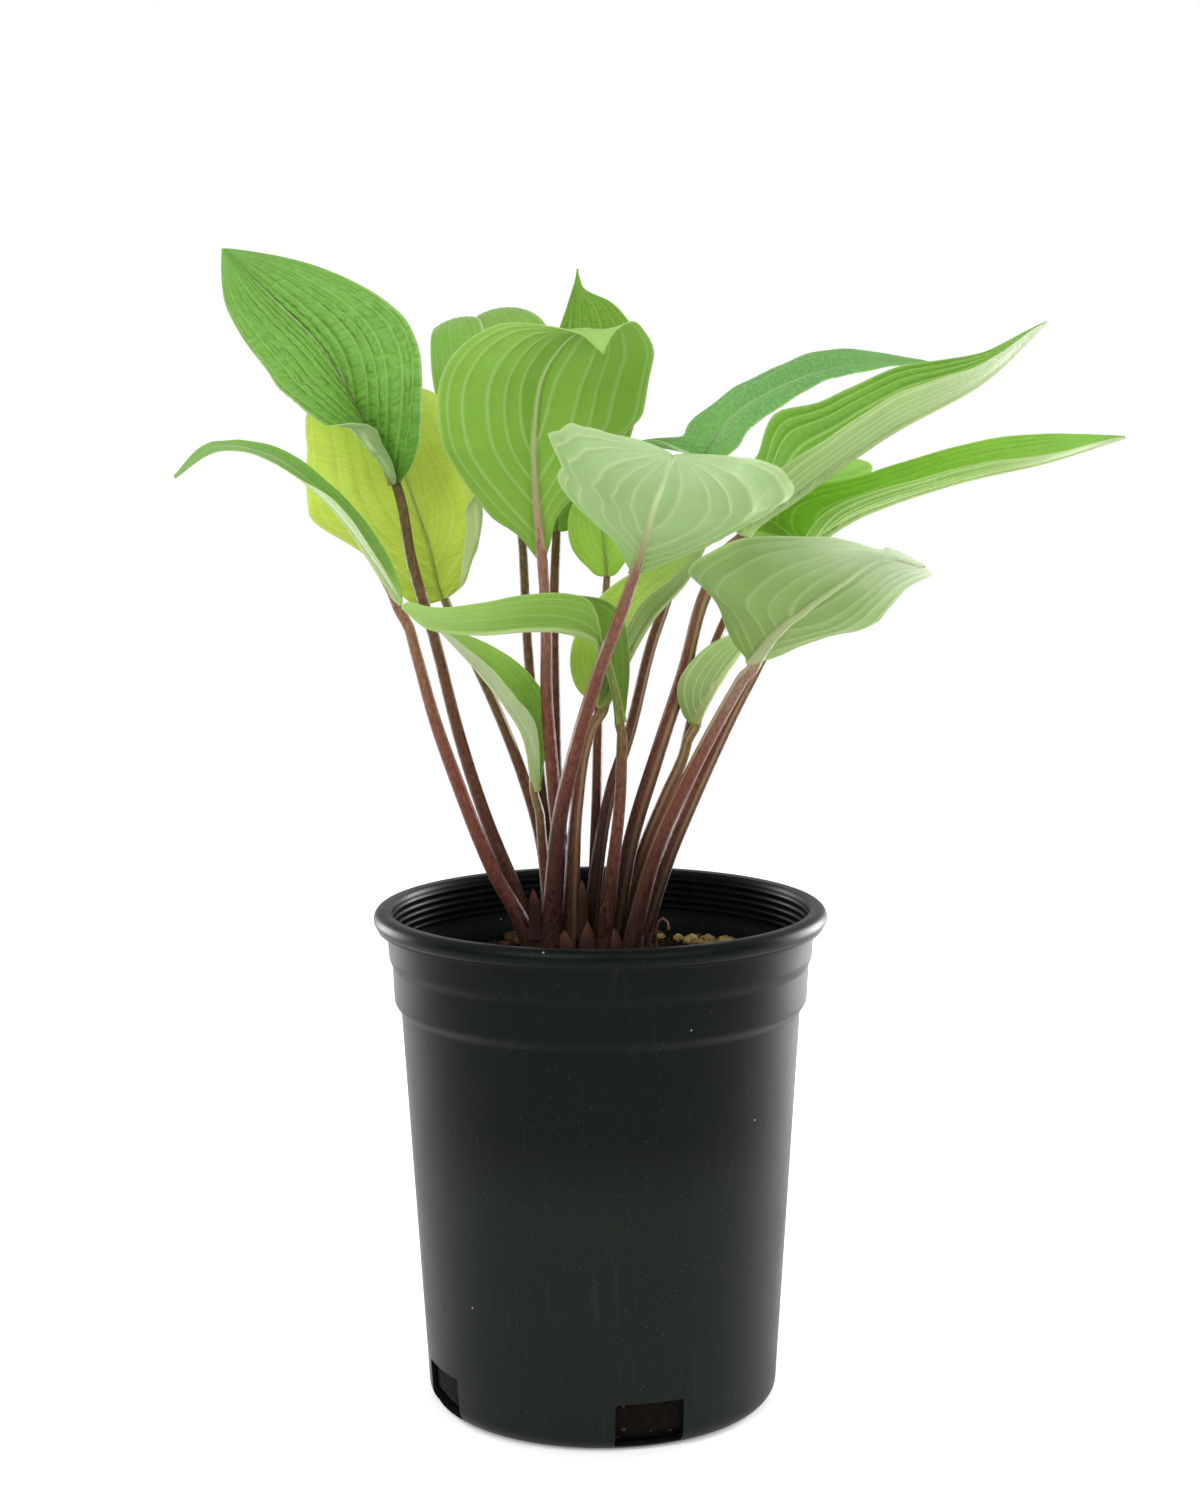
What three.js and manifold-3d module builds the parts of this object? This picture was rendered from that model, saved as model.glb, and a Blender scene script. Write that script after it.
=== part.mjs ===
// A hosta in a nursery pot: seventeen leaves, each a green blade on a red-brown stem,
// standing in potting soil inside a black moulded pot.
// Millimetres, +Z up. The origin is on the pot's axis, in the plane the pot stands on.
// The front of the plant, the side with the near drain hole, faces -Y.

import * as THREE from 'three';
import Module from 'manifold-3d';
import { mergeVertices } from 'three/addons/utils/BufferGeometryUtils.js';

// Pot
const RIM_RADIUS = 82.5;
const POT_HEIGHT = 183.6;
const WALL = 1.8;
const COLLAR_RADIUS = 77.7;
const BAND_RADIUS = 75.9;
const BODY_TOP_RADIUS = 72.9;
const BODY_FOOT_RADIUS = 64.4;
const COLLAR_LOW = 163;
const BAND_LOW = 146.4;
const DRAFT = 0.6;
const FOOT_ROUND = 7;
const FOOT_RISE = 1.4;
const PAD_RADIUS = 38;
const FOOT_RING_RADIUS = 51;
const INNER_RINGS = 5;
const INNER_RING_PITCH = 2.7;
const INNER_RING_HEIGHT = 0.5;
const POT_SIDES = 44;
const HOLE_WIDTH = 25;
const HOLE_DEPTH = 16;
const HOLE_LOW = 1.9;
const HOLE_TOP = 18;
const HOLE_ANGLES = [-75, -154.5, 105, 25.5];

// Soil
const SOIL_TOP = 158;
const SOIL_GAP = 0.45;
const SOIL_SIDES = 40;
const SOIL_RINGS = 5;
const SOIL_RELIEF = 1.6;
const SOIL_SEED = 7;
const CHIP_COUNT = 14;
const CHIP_LENGTHS = [5, 11];
const CHIP_WIDTHS = [3, 6];
const CHIP_HEIGHTS = [2.4, 3.8];
const CHIP_RISE = 0.4;
const CHIP_MARGIN = 8;

// Leaves
const ROOT_DEPTH = 12;
const HOLE_GAP = 0.35;
const HOLE_RISE = 6;
const STEM_GAP = 0.45;
const STEM_SIDES = 6;
const STEM_STEP = 16;
const BLADE_STEPS = 12;
const BLADE_HALF = 3;
const BLADE_THICKNESS = 0.8;
const RIB_THICKNESS = 1.9;
const BLADE_BASE = 1.8;
const BLADE_TIP = 0.8;
const WIDEST_PLACE = 0.36;
const WAVE_COUNT = 2.5;
const WAVE_SHIFT = 2;

// Each leaf is given as it grows. "line" runs up the middle of the stem from the soil and
// on along the rib to the tip, and the blade starts at its point number "base".
// "left" and "right" are the way from the rib to the two margins, evenly spaced along the
// blade and before it narrows, as seen on the upper face with the tip ahead.
// "heel" and "taper" shape the blade's two ends, each under 1 for a blunt end. "cup" is the
// sag of each half between rib and margin, as a share of its width, "wave" is the margin's
// ripple, and "girth" is the stem's thickness at the soil and at the blade.
const LEAVES = [
  {
    name: 'leaf_tall_left', girth: [5.8, 3.8], base: 6, heel: 0.6, taper: 1.0, cup: -0.1, wave: 0.8,
    line: [[-20.8, -1.6, 158], [-29, -1, 185], [-41, 1, 215], [-50.5, 3, 245], [-59, 4, 280],
      [-67, 3, 309], [-72, 2, 337], [-85, 5, 362], [-98, 9, 384], [-119, 16, 405], [-135, 20, 421]],
    left: [[-11, -24, 7], [-23, -14, -8], [-27, -5, -12]],
    right: [[18, -16, 5], [31, -6, 13], [34, 4, 19]],
  },
  {
    name: 'leaf_low_left', girth: [6, 3.8], base: 6, heel: 0.6, taper: 1.0, cup: 0.1, wave: 0.4,
    line: [[-21.4, -9.2, 158], [-29, -9, 180], [-39, -9, 199], [-52, -10, 233], [-59, -11, 254],
      [-65, -12, 277], [-70, -13, 295], [-82, -15, 316], [-96, -18, 334], [-115, -20, 348],
      [-134, -22, 351], [-148, -24, 341]],
    left: [[2, -12, 1], [1, -11, 1]],
    right: [[4, 14, 2], [2, 13, 2], [1, 11, 4]],
  },
  {
    name: 'leaf_back_left', girth: [5, 3.6], base: 6, heel: 0.45, taper: 0.6, cup: -0.1, wave: 1.4,
    line: [[-18.5, 10.5, 158], [-19.5, 10.5, 190], [-22.5, 11, 210], [-28, 12.5, 229],
      [-36, 15, 250], [-46, 18, 272], [-57, 20, 294], [-62, 22, 314], [-70, 27, 337],
      [-77, 36, 357], [-83, 48, 374]],
    left: [[-44, 2, 5], [-38, 4, 12], [-32, 6, 14]],
    right: [[18, -14, 6], [25, -8, 8], [24, -6, 4]],
  },
  {
    name: 'leaf_centre', girth: [5.8, 4.2], base: 5, heel: 0.75, taper: 0.6, cup: 0.1, wave: 1.0,
    line: [[-12.5, -5.5, 158], [-15, -5.5, 205], [-17.5, -6, 238], [-19, -7, 262], [-19, -7, 285],
      [-20, -8, 310], [-22, -12, 335], [-22, -22, 356], [-18, -36, 377], [-5, -50, 391],
      [2, -62, 383]],
    left: [[22, -6, 4], [37, -4, 5], [41, -2, 0], [14, -4, 8]],
    right: [[-26, -4, 3], [-36, 0, 1], [-42, 2, 6]],
  },
  {
    name: 'leaf_strap', girth: [5, 3.6], base: 4, heel: 1.1, taper: 0.5, cup: 0.12, wave: 0.5,
    line: [[-0.5, -14.5, 158], [4.5, -15.5, 199], [7.2, -17, 224], [8, -20, 245], [8, -21, 253],
      [5, -25, 269], [0, -31, 283], [-11, -37, 288], [-24, -41, 289], [-41, -44, 288],
      [-58, -45, 290], [-67, -45, 297]],
    left: [[-8, -8, 6], [0, -6, 13], [2, -5, 13], [2, -5, 11]],
    right: [[12, 3, 12], [6, 5, 12], [0, 8, 10], [0, 8, 8]],
  },
  {
    name: 'leaf_front', girth: [6.6, 3.8], base: 5, heel: 0.8, taper: 0.7, cup: 0.1, wave: 1.2,
    line: [[-19, -16.5, 158], [-15, -20, 215], [-9, -28, 243], [0, -42, 274], [9, -54, 299],
      [12, -59, 309], [15, -68, 319], [18, -90, 332], [21, -114, 342], [23, -140, 351]],
    left: [[28, 2, 3], [27, 2, 3], [33, 2, 4], [43, 2, 6], [45, 2, 7], [48, 3, 7.5], [47, 4, 8.5],
      [45, 5, 9], [40, 6, 8]],
    right: [[-9, -1, 2], [-9, -1, 3], [-14, -1, 5], [-26, -1, 15], [-34, 0, 26], [-33, 1, 26],
      [-31, 1, 25], [-26, 2, 21], [-24, 2, 20]],
  },
  {
    name: 'leaf_folded', girth: [5.6, 4], base: 4, heel: 0.6, taper: 1.0, cup: 0.1, wave: 0.5,
    line: [[-11.5, -13, 158], [-9.5, -14, 206], [-8, -15, 224], [-5, -16, 244], [0, -17, 258],
      [8, -15, 273], [18, -11, 289], [31, -6, 303], [39, 0, 317]],
    left: [[-20, 4, 6], [-14, 6, 14]],
    right: [[-3, -9, 5], [-6, -8, 4]],
  },
  {
    name: 'leaf_small_centre', girth: [4.4, 3], base: 4, heel: 0.5, taper: 1.0, cup: -0.1, wave: 0.5,
    line: [[-3, 5.5, 158], [-1, 7, 221], [0, 8, 258], [2, 8, 287], [3, 8, 303],
      [2, 7, 314], [0, 4, 328], [-2, 0, 342]],
    left: [[-13, -3, 3], [-12, -2, 3]],
    right: [[10, -6, 3], [10, -5, 3]],
  },
  {
    name: 'leaf_blue_right', girth: [5, 3.6], base: 7, heel: 0.4, taper: 1.0, cup: -0.1, wave: 0.7,
    line: [[-5.5, -3.5, 158], [0, 0, 205], [4.3, 2, 226], [11, 6, 246], [19, 12, 277], [25, 16, 294],
      [34, 22, 326], [38, 26, 343], [50, 32, 359], [73, 38, 372], [97, 44, 378], [125, 50, 379]],
    left: [[-38, 12, -4], [-7, 16, 4], [-5, 16, 5], [-3, 16, 9], [-2, 14, 10]],
    right: [[5, -17, -3], [3, -17, -3]],
  },
  {
    name: 'leaf_high_right', girth: [6.8, 4.8], base: 5, heel: 0.45, taper: 1.1, cup: 0.1, wave: 0.9,
    line: [[2.5, -6.5, 158], [11.5, -6, 209], [21, -5, 240], [30.5, -3, 269], [38, 0, 296], [51, 2, 319],
      [71, 0, 333], [103, -6, 355], [135, -14, 373], [156, -20, 393]],
    left: [[-13, 14, 20], [-10, 14, 20], [-4, 12, 18]],
    right: [[-6, -20, 11], [-3, -16, 10]],
  },
  {
    name: 'leaf_long_right', girth: [5.6, 4], base: 5, heel: 0.35, taper: 1.0, cup: 0.1, wave: 0.5,
    line: [[10.5, -4, 158], [24.5, -1.5, 200], [33, 1, 220], [47, 5, 250], [62, 9, 279], [76, 12, 312],
      [90, 12, 323], [127, 14, 336], [164, 18, 344], [192, 22, 352]],
    left: [[-44, 10, 2], [-26, 10, 14], [-7, 8, 9], [-5, 10, 11], [-2, 12, 14.5], [0, 11, 16],
      [0, 10, 16]],
    right: [[-4, -16, 8], [-2, -17, 7], [-1, -17, 4.8], [0, -14, 4.2], [0, -10, 4]],
  },
  {
    name: 'leaf_back_right', girth: [4.4, 3.2], base: 4, heel: 0.5, taper: 0.6, cup: -0.1, wave: 0.4,
    line: [[10.5, 8.5, 158], [27, 14, 220], [37, 19, 260], [46, 24, 284], [60, 29, 309],
      [71, 33, 322], [84, 38, 334], [102, 44, 341]],
    left: [[-9, 8, 11], [-7, 8, 11]],
    right: [[8, -8, -8], [6, -8, -8]],
  },
  {
    name: 'leaf_front_right', girth: [6, 4.4], base: 4, heel: 0.75, taper: 0.45, cup: 0.1, wave: 1.0,
    line: [[7.5, -13, 158], [20, -15, 206], [33, -20, 236], [46, -28, 262], [53, -35, 275],
      [61, -43, 287], [71, -56, 297], [82, -72, 307], [93, -88, 316], [105, -102, 314]],
    left: [[10, 24, -6], [14, 22, -6.5], [22, 16, -9], [19, 15, -9.6], [21, 9, -9.6], [12, 6, -7]],
    right: [[-19, 4, 8], [-23, 5, 10], [-38, 6, 16], [-34.5, 7, 15.3], [-16, 6, 8.5], [-8, 6, 6]],
  },
  {
    name: 'leaf_small_right', girth: [5.2, 3.6], base: 4, heel: 0.6, taper: 1.0, cup: 0.1, wave: 0.4,
    line: [[5, 1.5, 158], [15, 0, 201], [23.5, -2, 223], [30, -3.5, 238], [33.5, -6, 251],
      [40, -8, 263], [49, -9, 276], [58, -8, 287]],
    left: [[-8, 9, 5], [-6, 9, 6]],
    right: [[-11, -4, 7], [-8, -5, 8]],
  },
  {
    name: 'leaf_back_centre', girth: [5, 3.6], base: 4, heel: 0.5, taper: 0.7, cup: -0.1, wave: 1.0,
    line: [[-13, 17, 158], [-21, 17, 221], [-24, 17, 252], [-26, 17, 279], [-28, 20, 319],
      [-33, 32, 352], [-39, 46, 378], [-45, 68, 396], [-50, 98, 392]],
    left: [[-20, 0, -4], [-26, -4, -7]],
    right: [[24, 2, 4], [28, 2, 6]],
  },
  {
    name: 'leaf_top', girth: [5, 3.6], base: 4, heel: 0.5, taper: 1.2, cup: -0.08, wave: 0.6,
    line: [[-7.5, 13, 158], [-15, 14.5, 220], [-16, 14, 257], [-16, 13, 294], [-15, 12, 319],
      [-14, 12, 352], [-11, 15, 384], [-7, 18, 413]],
    left: [[-18, -3, 2], [-10, 0, 0], [-5, 0, -2]],
    right: [[20, -4, 2], [39, -5, 4]],
  },
  {
    name: 'leaf_small_left', girth: [4.6, 3.2], base: 2, heel: 0.9, taper: 0.8, cup: 0.1, wave: 0.4,
    line: [[-15, 4.5, 158], [-20.5, 2, 200], [-22.5, 0, 226], [-26, -3, 246], [-33, -5, 258],
      [-44, -6, 272], [-56, -6, 285]],
    left: [[4, -8, 4], [3, -8, 4]],
    right: [[8, 8, 10], [9, 6, 11]],
  },
];

const material = (color, roughness) => new THREE.MeshStandardMaterial({ color, roughness, metalness: 0 });
const POT_PLASTIC = material(0x1c201f, 0.45);
const SOIL = material(0x241a14, 0.95);
const STEM = material(0x6b3f33, 0.6);
const BLADE = material(0x86b84e, 0.55);

const wasm = await Module();
wasm.setup();

// The same body with positions only, its shared corners joined.
function bare(geometry) {
  const copy = geometry.clone();
  copy.deleteAttribute('normal');
  copy.deleteAttribute('uv');
  return mergeVertices(copy, 1e-3);
}

// A closed mesh as a solid that can be joined and cut.
function toSolid(geometry) {
  const merged = bare(geometry);
  return new wasm.Manifold(new wasm.Mesh({
    numProp: 3,
    vertProperties: new Float32Array(merged.attributes.position.array),
    triVerts: new Uint32Array(merged.index.array),
  }));
}

function toGeometry(solid) {
  const mesh = solid.getMesh();
  const geometry = new THREE.BufferGeometry();
  geometry.setAttribute('position', new THREE.BufferAttribute(mesh.vertProperties, 3));
  geometry.setIndex(new THREE.BufferAttribute(mesh.triVerts, 1));
  geometry.computeVertexNormals();
  return geometry;
}

// A closed body through rings of points. Point j of a ring lies across from its point
// last - j, and both faces of a thin ring are split along the same diagonal.
function loft(rings) {
  const count = rings[0].length;
  const half = count / 2;
  const index = [];
  const quad = (a, b, c, d, flip) => {
    index.push(...(flip ? [a, b, d, b, c, d] : [a, b, c, a, c, d]));
  };
  for (let i = 0; i < rings.length - 1; i++) {
    for (let j = 0; j < count; j++) {
      const next = (j + 1) % count;
      quad(i * count + j, i * count + next, (i + 1) * count + next, (i + 1) * count + j, j >= half);
    }
  }
  const last = (rings.length - 1) * count;
  for (let j = 0; j < half - 1; j++) {
    const across = count - 1 - j;
    quad(j, across, across - 1, j + 1, false);
    quad(last + j, last + j + 1, last + across - 1, last + across, false);
  }
  const geometry = new THREE.BufferGeometry();
  const corners = rings.flat().flatMap((point) => point.toArray());
  geometry.setAttribute('position', new THREE.Float32BufferAttribute(corners, 3));
  geometry.setIndex(index);
  geometry.computeVertexNormals();
  return geometry;
}

const vector = (xyz) => new THREE.Vector3(...xyz);
const lineOf = (leaf) => new THREE.CatmullRomCurve3(leaf.line.map(vector), false, 'centripetal');
const baseOf = (leaf) => leaf.base / (leaf.line.length - 1);

// A round tube along a curve, its radius changing evenly from foot to top.
function tube(curve, footRadius, topRadius, steps) {
  const side = new THREE.Vector3(1, 0, 0);
  const rings = [];
  for (let i = 0; i <= steps; i++) {
    const place = i / steps;
    const centre = curve.getPoint(place);
    const ahead = curve.getTangent(place);
    side.addScaledVector(ahead, -side.dot(ahead)).normalize();
    const up = new THREE.Vector3().crossVectors(ahead, side);
    const radius = THREE.MathUtils.lerp(footRadius, topRadius, place);
    rings.push(Array.from({ length: STEM_SIDES }, (_, j) => {
      const turn = (j + 0.5) / STEM_SIDES * 2 * Math.PI;
      return centre.clone()
        .addScaledVector(side, radius * Math.cos(turn))
        .addScaledVector(up, radius * Math.sin(turn));
    }));
  }
  return loft(rings);
}

// A straight line down into the soil from a leaf's foot, as its stem goes on below ground.
function rootOf(leaf, depth) {
  const foot = vector(leaf.line[0]);
  const down = foot.clone().sub(vector(leaf.line[1])).setLength(depth);
  return new THREE.LineCurve3(foot.clone().add(down), foot);
}

// The stem runs from its root in the soil to just short of the blade.
function stemGeometry(leaf) {
  const line = lineOf(leaf);
  const end = baseOf(leaf) - STEM_GAP / line.getLength();
  const above = new THREE.Curve();
  above.getPoint = (place) => line.getPoint(place * end);
  const whole = new THREE.CurvePath();
  whole.add(rootOf(leaf, ROOT_DEPTH));
  whole.add(above);
  const [soilGirth, bladeGirth] = leaf.girth;
  return tube(whole, soilGirth / 2, bladeGirth / 2, Math.round(whole.getLength() / STEM_STEP) + 2);
}

// How wide the blade is at a place between its base (0) and its tip (1), from 0 to 1.
function outline(leaf, place) {
  if (place < WIDEST_PLACE) {
    return (1 - (1 - place / WIDEST_PLACE) ** 2) ** leaf.heel;
  }
  return Math.cos((place - WIDEST_PLACE) / (1 - WIDEST_PLACE) * Math.PI / 2) ** leaf.taper;
}

// The way to a margin at a place along the blade, between the ways that the leaf gives.
function reachAt(ways, place) {
  const at = place * (ways.length - 1);
  const from = Math.min(Math.floor(at), ways.length - 2);
  return vector(ways[from]).lerp(vector(ways[from + 1]), at - from);
}

// A point midway through the blade, at a place along it and a share of the way out from the
// rib, with the left half's shares below zero. The blade's base is square to the stem.
function bladePoint(leaf, line, place, out) {
  const at = THREE.MathUtils.lerp(baseOf(leaf), 1, place);
  const left = out < 0;
  const reach = reachAt(left ? leaf.left : leaf.right, place);
  const least = THREE.MathUtils.lerp(BLADE_BASE, BLADE_TIP, place);
  const width = Math.max(outline(leaf, place) * reach.length(), least);
  const ahead = line.getTangent(at);
  if (place === 0) {
    reach.projectOnPlane(ahead);
  }
  const upward = new THREE.Vector3().crossVectors(ahead, reach).normalize();
  const share = Math.abs(out);
  const swing = Math.sin(place * WAVE_COUNT * 2 * Math.PI + (left ? 0 : WAVE_SHIFT));
  const ripple = Math.sin(place * Math.PI) * swing;
  const sag = leaf.cup * width * 4 * share * (1 - share) + leaf.wave * share ** 2 * ripple;
  return line.getPoint(at)
    .addScaledVector(reach.normalize(), width * share)
    .addScaledVector(upward, left ? -sag : sag);
}

function bladeGeometry(leaf) {
  const line = lineOf(leaf);
  const last = 2 * BLADE_HALF;
  const grid = Array.from({ length: BLADE_STEPS + 1 }, (_, i) =>
    Array.from({ length: last + 1 }, (__, j) =>
      bladePoint(leaf, line, i / BLADE_STEPS, (j - BLADE_HALF) / BLADE_HALF)));
  const rings = grid.map((row, i) => {
    const upper = [];
    const under = [];
    row.forEach((point, j) => {
      const along = grid[Math.min(i + 1, BLADE_STEPS)][j].clone().sub(grid[Math.max(i - 1, 0)][j]);
      const across = row[Math.min(j + 1, last)].clone().sub(row[Math.max(j - 1, 0)]);
      const normal = across.cross(along).normalize();
      const depth = j === BLADE_HALF ? RIB_THICKNESS : BLADE_THICKNESS;
      upper.push(point.clone().addScaledVector(normal, BLADE_THICKNESS / 2));
      under.push(point.clone().addScaledVector(normal, BLADE_THICKNESS / 2 - depth));
    });
    return [...upper, ...under.reverse()];
  });
  return loft(rings);
}

// The pot's foot, wall, collar and rolled rim, and the ringed inside of the wall.
function potSection() {
  const footFlat = BODY_FOOT_RADIUS - FOOT_ROUND;
  const section = [
    [0, 0], [PAD_RADIUS, 0], [PAD_RADIUS + 2, FOOT_RISE], [FOOT_RING_RADIUS - 2, FOOT_RISE],
    [FOOT_RING_RADIUS, 0], [footFlat, 0],
  ];
  for (const turn of [30, 60, 90]) {
    const angle = THREE.MathUtils.degToRad(turn);
    section.push([footFlat + FOOT_ROUND * Math.sin(angle), FOOT_ROUND - FOOT_ROUND * Math.cos(angle)]);
  }
  section.push(
    [BODY_TOP_RADIUS, BAND_LOW], [BAND_RADIUS - DRAFT, BAND_LOW + 3.2],
    [BAND_RADIUS, COLLAR_LOW], [COLLAR_RADIUS - DRAFT, COLLAR_LOW + 3],
    [COLLAR_RADIUS, POT_HEIGHT - 7.6], [RIM_RADIUS - 1.6, POT_HEIGHT - 7],
    [RIM_RADIUS - 0.2, POT_HEIGHT - 5], [RIM_RADIUS, POT_HEIGHT - 3.2],
    [RIM_RADIUS - 1.1, POT_HEIGHT - 0.9], [RIM_RADIUS - 3, POT_HEIGHT],
  );
  const collarBore = COLLAR_RADIUS - WALL;
  section.push([collarBore + 0.4, POT_HEIGHT - 0.8], [collarBore, POT_HEIGHT - 2.6]);
  for (let ring = 0; ring < INNER_RINGS; ring++) {
    const height = POT_HEIGHT - 4 - ring * INNER_RING_PITCH;
    section.push([collarBore - INNER_RING_HEIGHT, height], [collarBore, height - INNER_RING_PITCH / 2]);
  }
  section.push(
    [collarBore - DRAFT, COLLAR_LOW + 1.4], [BAND_RADIUS - DRAFT - WALL, COLLAR_LOW - 1.6],
    [BAND_RADIUS - DRAFT - WALL, BAND_LOW + 1.6], [BODY_TOP_RADIUS - WALL, BAND_LOW - 1.6],
    [BODY_FOOT_RADIUS - WALL + 0.4, FOOT_ROUND], [BODY_FOOT_RADIUS - 4.2, WALL + FOOT_RISE],
    [0, WALL + FOOT_RISE],
  );
  return section;
}

// A solid turned about Z from its section, given as radius and height.
function turned(section, sides) {
  const outlinePoints = section.map(([radius, height]) => new THREE.Vector2(radius, height));
  return new THREE.LatheGeometry(outlinePoints, sides).rotateX(Math.PI / 2);
}

function potGeometry() {
  let pot = toSolid(turned(potSection(), POT_SIDES));
  for (const angle of HOLE_ANGLES) {
    const hole = new THREE.BoxGeometry(HOLE_DEPTH, HOLE_WIDTH, HOLE_TOP - HOLE_LOW);
    hole.translate(BODY_FOOT_RADIUS, 0, (HOLE_TOP + HOLE_LOW) / 2);
    hole.rotateZ(THREE.MathUtils.degToRad(angle));
    pot = pot.subtract(toSolid(hole));
  }
  return toGeometry(pot);
}

// A repeatable run of numbers between 0 and 1.
function randomRun(seed) {
  let state = seed;
  return () => {
    state = (state * 16807) % 2147483647;
    return state / 2147483647;
  };
}

// Soil fills the pot to a lumpy top.
function soilBody(random, topRadius) {
  const floor = WALL + FOOT_RISE + SOIL_GAP;
  const bore = BODY_FOOT_RADIUS - WALL - SOIL_GAP;
  const section = [
    [0, floor], [bore - FOOT_ROUND * 0.7, floor], [bore - 0.2, FOOT_ROUND + 0.6],
    [BODY_TOP_RADIUS - WALL - SOIL_GAP, BAND_LOW - 0.4], [topRadius, BAND_LOW + 3.2],
  ];
  for (let ring = SOIL_RINGS; ring >= 0; ring--) {
    section.push([topRadius * ring / SOIL_RINGS, SOIL_TOP]);
  }
  const body = bare(turned(section, SOIL_SIDES));
  const corners = body.attributes.position;
  for (let i = 0; i < corners.count; i++) {
    if (corners.getZ(i) > SOIL_TOP - 0.1) {
      corners.setZ(i, SOIL_TOP + SOIL_RELIEF * (random() - 0.5));
    }
  }
  return toSolid(body);
}

// A bark chip lies half sunk in the soil, between the stems and the wall.
function chipGeometry(random, topRadius) {
  const between = ([least, most]) => THREE.MathUtils.lerp(least, most, random());
  const chip = new THREE.BoxGeometry(between(CHIP_LENGTHS), between(CHIP_WIDTHS), between(CHIP_HEIGHTS));
  chip.rotateX(0.5 * (random() - 0.5));
  chip.rotateY(0.6 * (random() - 0.5));
  chip.rotateZ(Math.PI * random());
  const radius = between([topRadius * 0.55, topRadius - CHIP_MARGIN]);
  const turn = 2 * Math.PI * random();
  return chip.translate(radius * Math.cos(turn), radius * Math.sin(turn), SOIL_TOP + CHIP_RISE);
}

// The soil has a plain hole for each stem.
function soilGeometry() {
  const random = randomRun(SOIL_SEED);
  const topRadius = BAND_RADIUS - DRAFT - WALL - SOIL_GAP;
  let soil = soilBody(random, topRadius);
  for (let chip = 0; chip < CHIP_COUNT; chip++) {
    soil = soil.add(toSolid(chipGeometry(random, topRadius)));
  }
  for (const leaf of LEAVES) {
    const hole = rootOf(leaf, ROOT_DEPTH + HOLE_GAP);
    const rise = hole.v2.clone().sub(hole.v1).setLength(HOLE_RISE);
    const radius = leaf.girth[0] / 2 + HOLE_GAP;
    const drill = tube(new THREE.LineCurve3(hole.v1, hole.v2.clone().add(rise)), radius, radius, 1);
    soil = soil.subtract(toSolid(drill));
  }
  return toGeometry(soil);
}

const plant = new THREE.Group();

function addPiece(name, geometry, look) {
  const piece = new THREE.Mesh(geometry, look);
  piece.name = name;
  plant.add(piece);
}

addPiece('pot', potGeometry(), POT_PLASTIC);
addPiece('soil', soilGeometry(), SOIL);
for (const leaf of LEAVES) {
  addPiece(`${leaf.name}_stem`, stemGeometry(leaf), STEM);
  addPiece(`${leaf.name}_blade`, bladeGeometry(leaf), BLADE);
}

export default plant;
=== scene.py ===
import math

import bmesh
import bpy
import numpy as np
from mathutils import Matrix, Vector, noise


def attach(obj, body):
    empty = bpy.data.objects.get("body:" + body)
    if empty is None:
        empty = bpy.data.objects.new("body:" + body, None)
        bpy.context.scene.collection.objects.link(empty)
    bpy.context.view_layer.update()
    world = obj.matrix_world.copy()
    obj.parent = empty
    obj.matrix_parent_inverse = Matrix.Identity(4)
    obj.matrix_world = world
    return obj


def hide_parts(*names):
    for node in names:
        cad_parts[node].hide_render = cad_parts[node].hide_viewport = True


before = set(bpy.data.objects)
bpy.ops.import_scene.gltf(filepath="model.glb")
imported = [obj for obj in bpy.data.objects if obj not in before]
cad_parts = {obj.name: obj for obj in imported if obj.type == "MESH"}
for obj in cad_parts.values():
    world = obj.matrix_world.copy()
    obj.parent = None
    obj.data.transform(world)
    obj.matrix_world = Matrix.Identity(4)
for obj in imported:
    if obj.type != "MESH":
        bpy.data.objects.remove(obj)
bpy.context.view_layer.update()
MM = 0.001


# The pot
# A nursery pot moulded in one piece from black polypropylene: a tapered body with two stepped
# bands, a rolled rim, stiffening rings inside the collar and four drain notches at the foot.
# It shows dust and faint vertical scuffs, and lower down a painted reflection of the floor that turns it
# lighter and olive.

# Sizes in millimetres, angles in degrees.
RIM_RADIUS = 82.5
RIM_ROLL = 3.5
RIM_NECK = 7.6
RIM_UNDERSIDE = (1.4, 7)
RIM_FILLET = 0.9
# The rim's inside, from its top down: how far outside the bore, and how far below the top.
RIM_INSIDE = [(0.9, 0.3), (0.2, 1.2), (0, 2.6)]
POT_HEIGHT = 183.6
WALL = 1.8
COLLAR_RADIUS = 77.7
BAND_RADIUS = 75.9
BODY_TOP_RADIUS = 72.9
BODY_FOOT_RADIUS = 64.4
COLLAR_LOW = 163
BAND_LOW = 146.4
DRAFT = 0.6
BAND_SLOPE = 3.2
COLLAR_SLOPE = 3
STEP_HOLLOW = 0.7
STEP_ROUND = 1.2
STEP_SPREAD = 1.6
FOOT_ROUND = 7
FOOT_RISE = 1.4
FOOT_SLOPE = 2
FOOT_THICKNESS = 4.2
PAD_RADIUS = 38
FOOT_RING_RADIUS = 51
INNER_RINGS = 5
INNER_RINGS_BELOW = 4
INNER_RING_PITCH = 2.7
INNER_RING_HEIGHT = 0.3
POT_SIDES = 176
HOLE_WIDTH = 25
HOLE_DEPTH = 16
HOLE_LOW = 1.9
HOLE_TOP = 18
HOLE_ROUND = 1.2
HOLE_ANGLES = [-75, -154.5, 105, 25.5]
# Heights in millimetres where the painted reflection of the floor begins and where it is full.
FLOOR_REFLECTION_FROM = 118
FLOOR_REFLECTION_FULL = 85


def tone(red, green, blue):
    """An sRGB colour, 0 to 255 each, as the linear RGBA that shader sockets take."""
    shares = [c / 255 for c in (red, green, blue)]
    return (*(c / 12.92 if c <= 10 / 255 else ((c + 0.055) / 1.055) ** 2.4 for c in shares), 1.0)


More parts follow.
